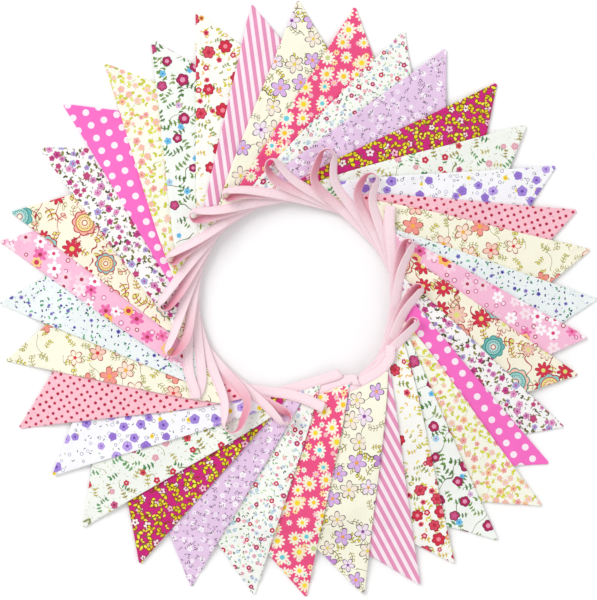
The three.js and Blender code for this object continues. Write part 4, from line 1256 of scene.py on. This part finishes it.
# Spun polyester thread: a little smoother than the cotton under it, so each stitch catches a soft light
stitchCut = {
    "pitch": 3.0,
    "long": 2.2,
    "thick": 0.36,
    "sides": 5,
    "fromMiddle": 3.4,  # the row runs near the edge that holds the pennants
    "fromCentre": 0.62,
    "colour": "f6ccd8",
    "colourDeep": "eeb4c4",
}


def sewingThread():
    material, tree = emptyMaterial("spunPolyesterThread")
    wires = addRows(tree, {}, (
        ("place", "TexCoord", {}),
        ("patch", "TexNoise", {}, {"Vector": "place.Object", "Scale": 400.0, "Detail": 1.0}),
        ("ink", "Mix", {"data_type": "RGBA"},
         {0: "patch.Fac", 6: linearColour(stitchCut["colour"]), 7: linearColour(stitchCut["colourDeep"])}),
        ("twist", "TexNoise", {}, {"Vector": "place.Object", "Scale": 2500.0, "Detail": 0.0}),
        ("plied", "Bump", {}, {"Height": "twist.Fac", "Strength": 0.5, "Distance": 0.0001}),
    ))
    shade = addNode(tree, "ShaderNodeBsdfPrincipled", {
        "Base Color": wires["ink.2"], "Normal": wires["plied"], "Roughness": 0.55, "IOR": 1.52,
        "Sheen Weight": 0.1, "Specular IOR Level": 0.4,
    })
    addNode(tree, "ShaderNodeOutputMaterial", {"Surface": shade.outputs[0]})
    return material


def makeStitchTree(material):
    tree = bpy.data.node_groups.new("stitchRows", "GeometryNodeTree")
    tree.interface.new_socket("Lines", in_out="INPUT", socket_type="NodeSocketGeometry")
    for label in ("Pitch", "Long", "Thick"):
        tree.interface.new_socket(label, in_out="INPUT", socket_type="NodeSocketFloat")
    tree.interface.new_socket("Sides", in_out="INPUT", socket_type="NodeSocketInt")
    tree.interface.new_socket("Stitches", in_out="OUTPUT", socket_type="NodeSocketGeometry")
    begin, finish = addNode(tree, "NodeGroupInput").outputs, addNode(tree, "NodeGroupOutput")
    curve = addNode(tree, "GeometryNodeMeshToCurve", {"Mesh": begin["Lines"]})
    spaced = addNode(tree, "GeometryNodeResampleCurve", {"Curve": curve.outputs[0], "Length": begin["Pitch"]},
                     mode="LENGTH")
    radius = addNode(tree, "ShaderNodeMath", {0: begin["Thick"], 1: 0.5}, operation="MULTIPLY")
    stitch = addNode(tree, "GeometryNodeMeshCylinder",
                     {"Vertices": begin["Sides"], "Radius": radius.outputs[0], "Depth": begin["Long"]})
    along = addNode(tree, "GeometryNodeInputTangent")
    aimed = addNode(tree, "FunctionNodeAlignRotationToVector", {"Vector": along.outputs[0]}, axis="Z")
    placed = addNode(tree, "GeometryNodeInstanceOnPoints", {
        "Points": spaced.outputs[0], "Instance": stitch.outputs["Mesh"], "Rotation": aimed.outputs[0]})
    real = addNode(tree, "GeometryNodeRealizeInstances", {0: placed.outputs[0]})
    smooth = addNode(tree, "GeometryNodeSetShadeSmooth", {0: real.outputs[0]})
    dyed = addNode(tree, "GeometryNodeSetMaterial", {"Geometry": smooth.outputs[0], "Material": material})
    tree.links.new(dyed.outputs[0], finish.inputs["Stitches"])
    return tree


def sewTape():
    centre, across, normal = tapeFrames()[:3]
    straight = [stop["fold"] is None for stop in route]  # a rigid stitch would stick out of a fold
    rows, edges = [], []
    for face in (1, -1):
        start = len(rows) * len(centre)
        row = centre + across * stitchCut["fromMiddle"] + normal * stitchCut["fromCentre"] * face
        row[:, 2] = np.maximum(row[:, 2], stitchCut["thick"] / 2 + layout["clear"])
        rows.append(inFrame(row))
        whole = [i for i in range(len(centre) - 1) if straight[i] and straight[i + 1]]
        edges += [(start + i, start + i + 1) for i in whole]
    mesh = bpy.data.meshes.new("stitchLines")
    mesh.from_pydata(np.concatenate(rows).tolist(), edges, [])
    piece = addObject("tape_stitches", mesh)
    tree = makeStitchTree(sewingThread())
    modifier = piece.modifiers.new("stitching", "NODES")
    modifier.node_group = tree
    values = {"Pitch": stitchCut["pitch"] / 1000, "Long": stitchCut["long"] / 1000,
              "Thick": stitchCut["thick"] / 1000, "Sides": stitchCut["sides"]}
    for socket in tree.interface.items_tree:
        if socket.name in values:
            modifier[socket.identifier] = values[socket.name]
    graph = bpy.context.evaluated_depsgraph_get()
    sewn = bpy.data.meshes.new_from_object(piece.evaluated_get(graph), depsgraph=graph)
    piece.modifiers.remove(modifier)
    piece.data = sewn
    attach(piece, "root")
    print("stitches:", len(sewn.polygons) // (stitchCut["sides"] + 2), "of", len(sewn.polygons), "faces")
    return piece


stitches = sewTape()


# Painted board for a floor, and soft light from two sides
studio = {
    "floor": "ffffff",
    "floorHalf": 2.6,
    "floorDrop": 0.0006,
    "world": 0.66,
    "lights": (("softbox", (-2.3, 1.9, 2.9), 2.3, 84), ("fill", (2.4, -1.8, 3.2), 3.2, 24)),
    "lens": 180,
    "sensor": 36,
    "camera": (-0.00006, -0.00148, 3.0),
    "farthest": 20,
}


def makeStage():
    half, drop = studio["floorHalf"], studio["floorDrop"]
    mesh = bpy.data.meshes.new("floor")
    corners = [(x * half, y * half, -drop) for x, y in ((-1, -1), (1, -1), (1, 1), (-1, 1))]
    mesh.from_pydata(corners, [], [(0, 1, 2, 3)])
    mesh.materials.append(paintedBoard("paintedFloor", studio["floor"]))
    addObject("floor", mesh)
    world = bpy.data.worlds.new("studio")
    bpy.context.scene.world = world
    world.use_nodes = True
    world.node_tree.nodes["Background"].inputs["Color"].default_value = (1, 1, 1, 1)
    world.node_tree.nodes["Background"].inputs["Strength"].default_value = studio["world"]
    for name, place, size, power in studio["lights"]:
        light = bpy.data.lights.new(name, "AREA")
        light.size, light.energy = size, power
        lamp = addObject(name, light)
        lamp.location = place
        lamp.rotation_euler = (-Vector(place)).to_track_quat("-Z", "Y").to_euler()
    camera = addObject("camera", bpy.data.cameras.new("camera"))
    camera.data.lens, camera.data.sensor_width = studio["lens"], studio["sensor"]
    camera.data.clip_end = studio["farthest"]
    camera.location = studio["camera"]
    bpy.context.scene.camera = camera
    bpy.context.scene.view_settings.view_transform = "Standard"
    print("stage:", len(studio["lights"]), "lights and a camera")


makeStage()
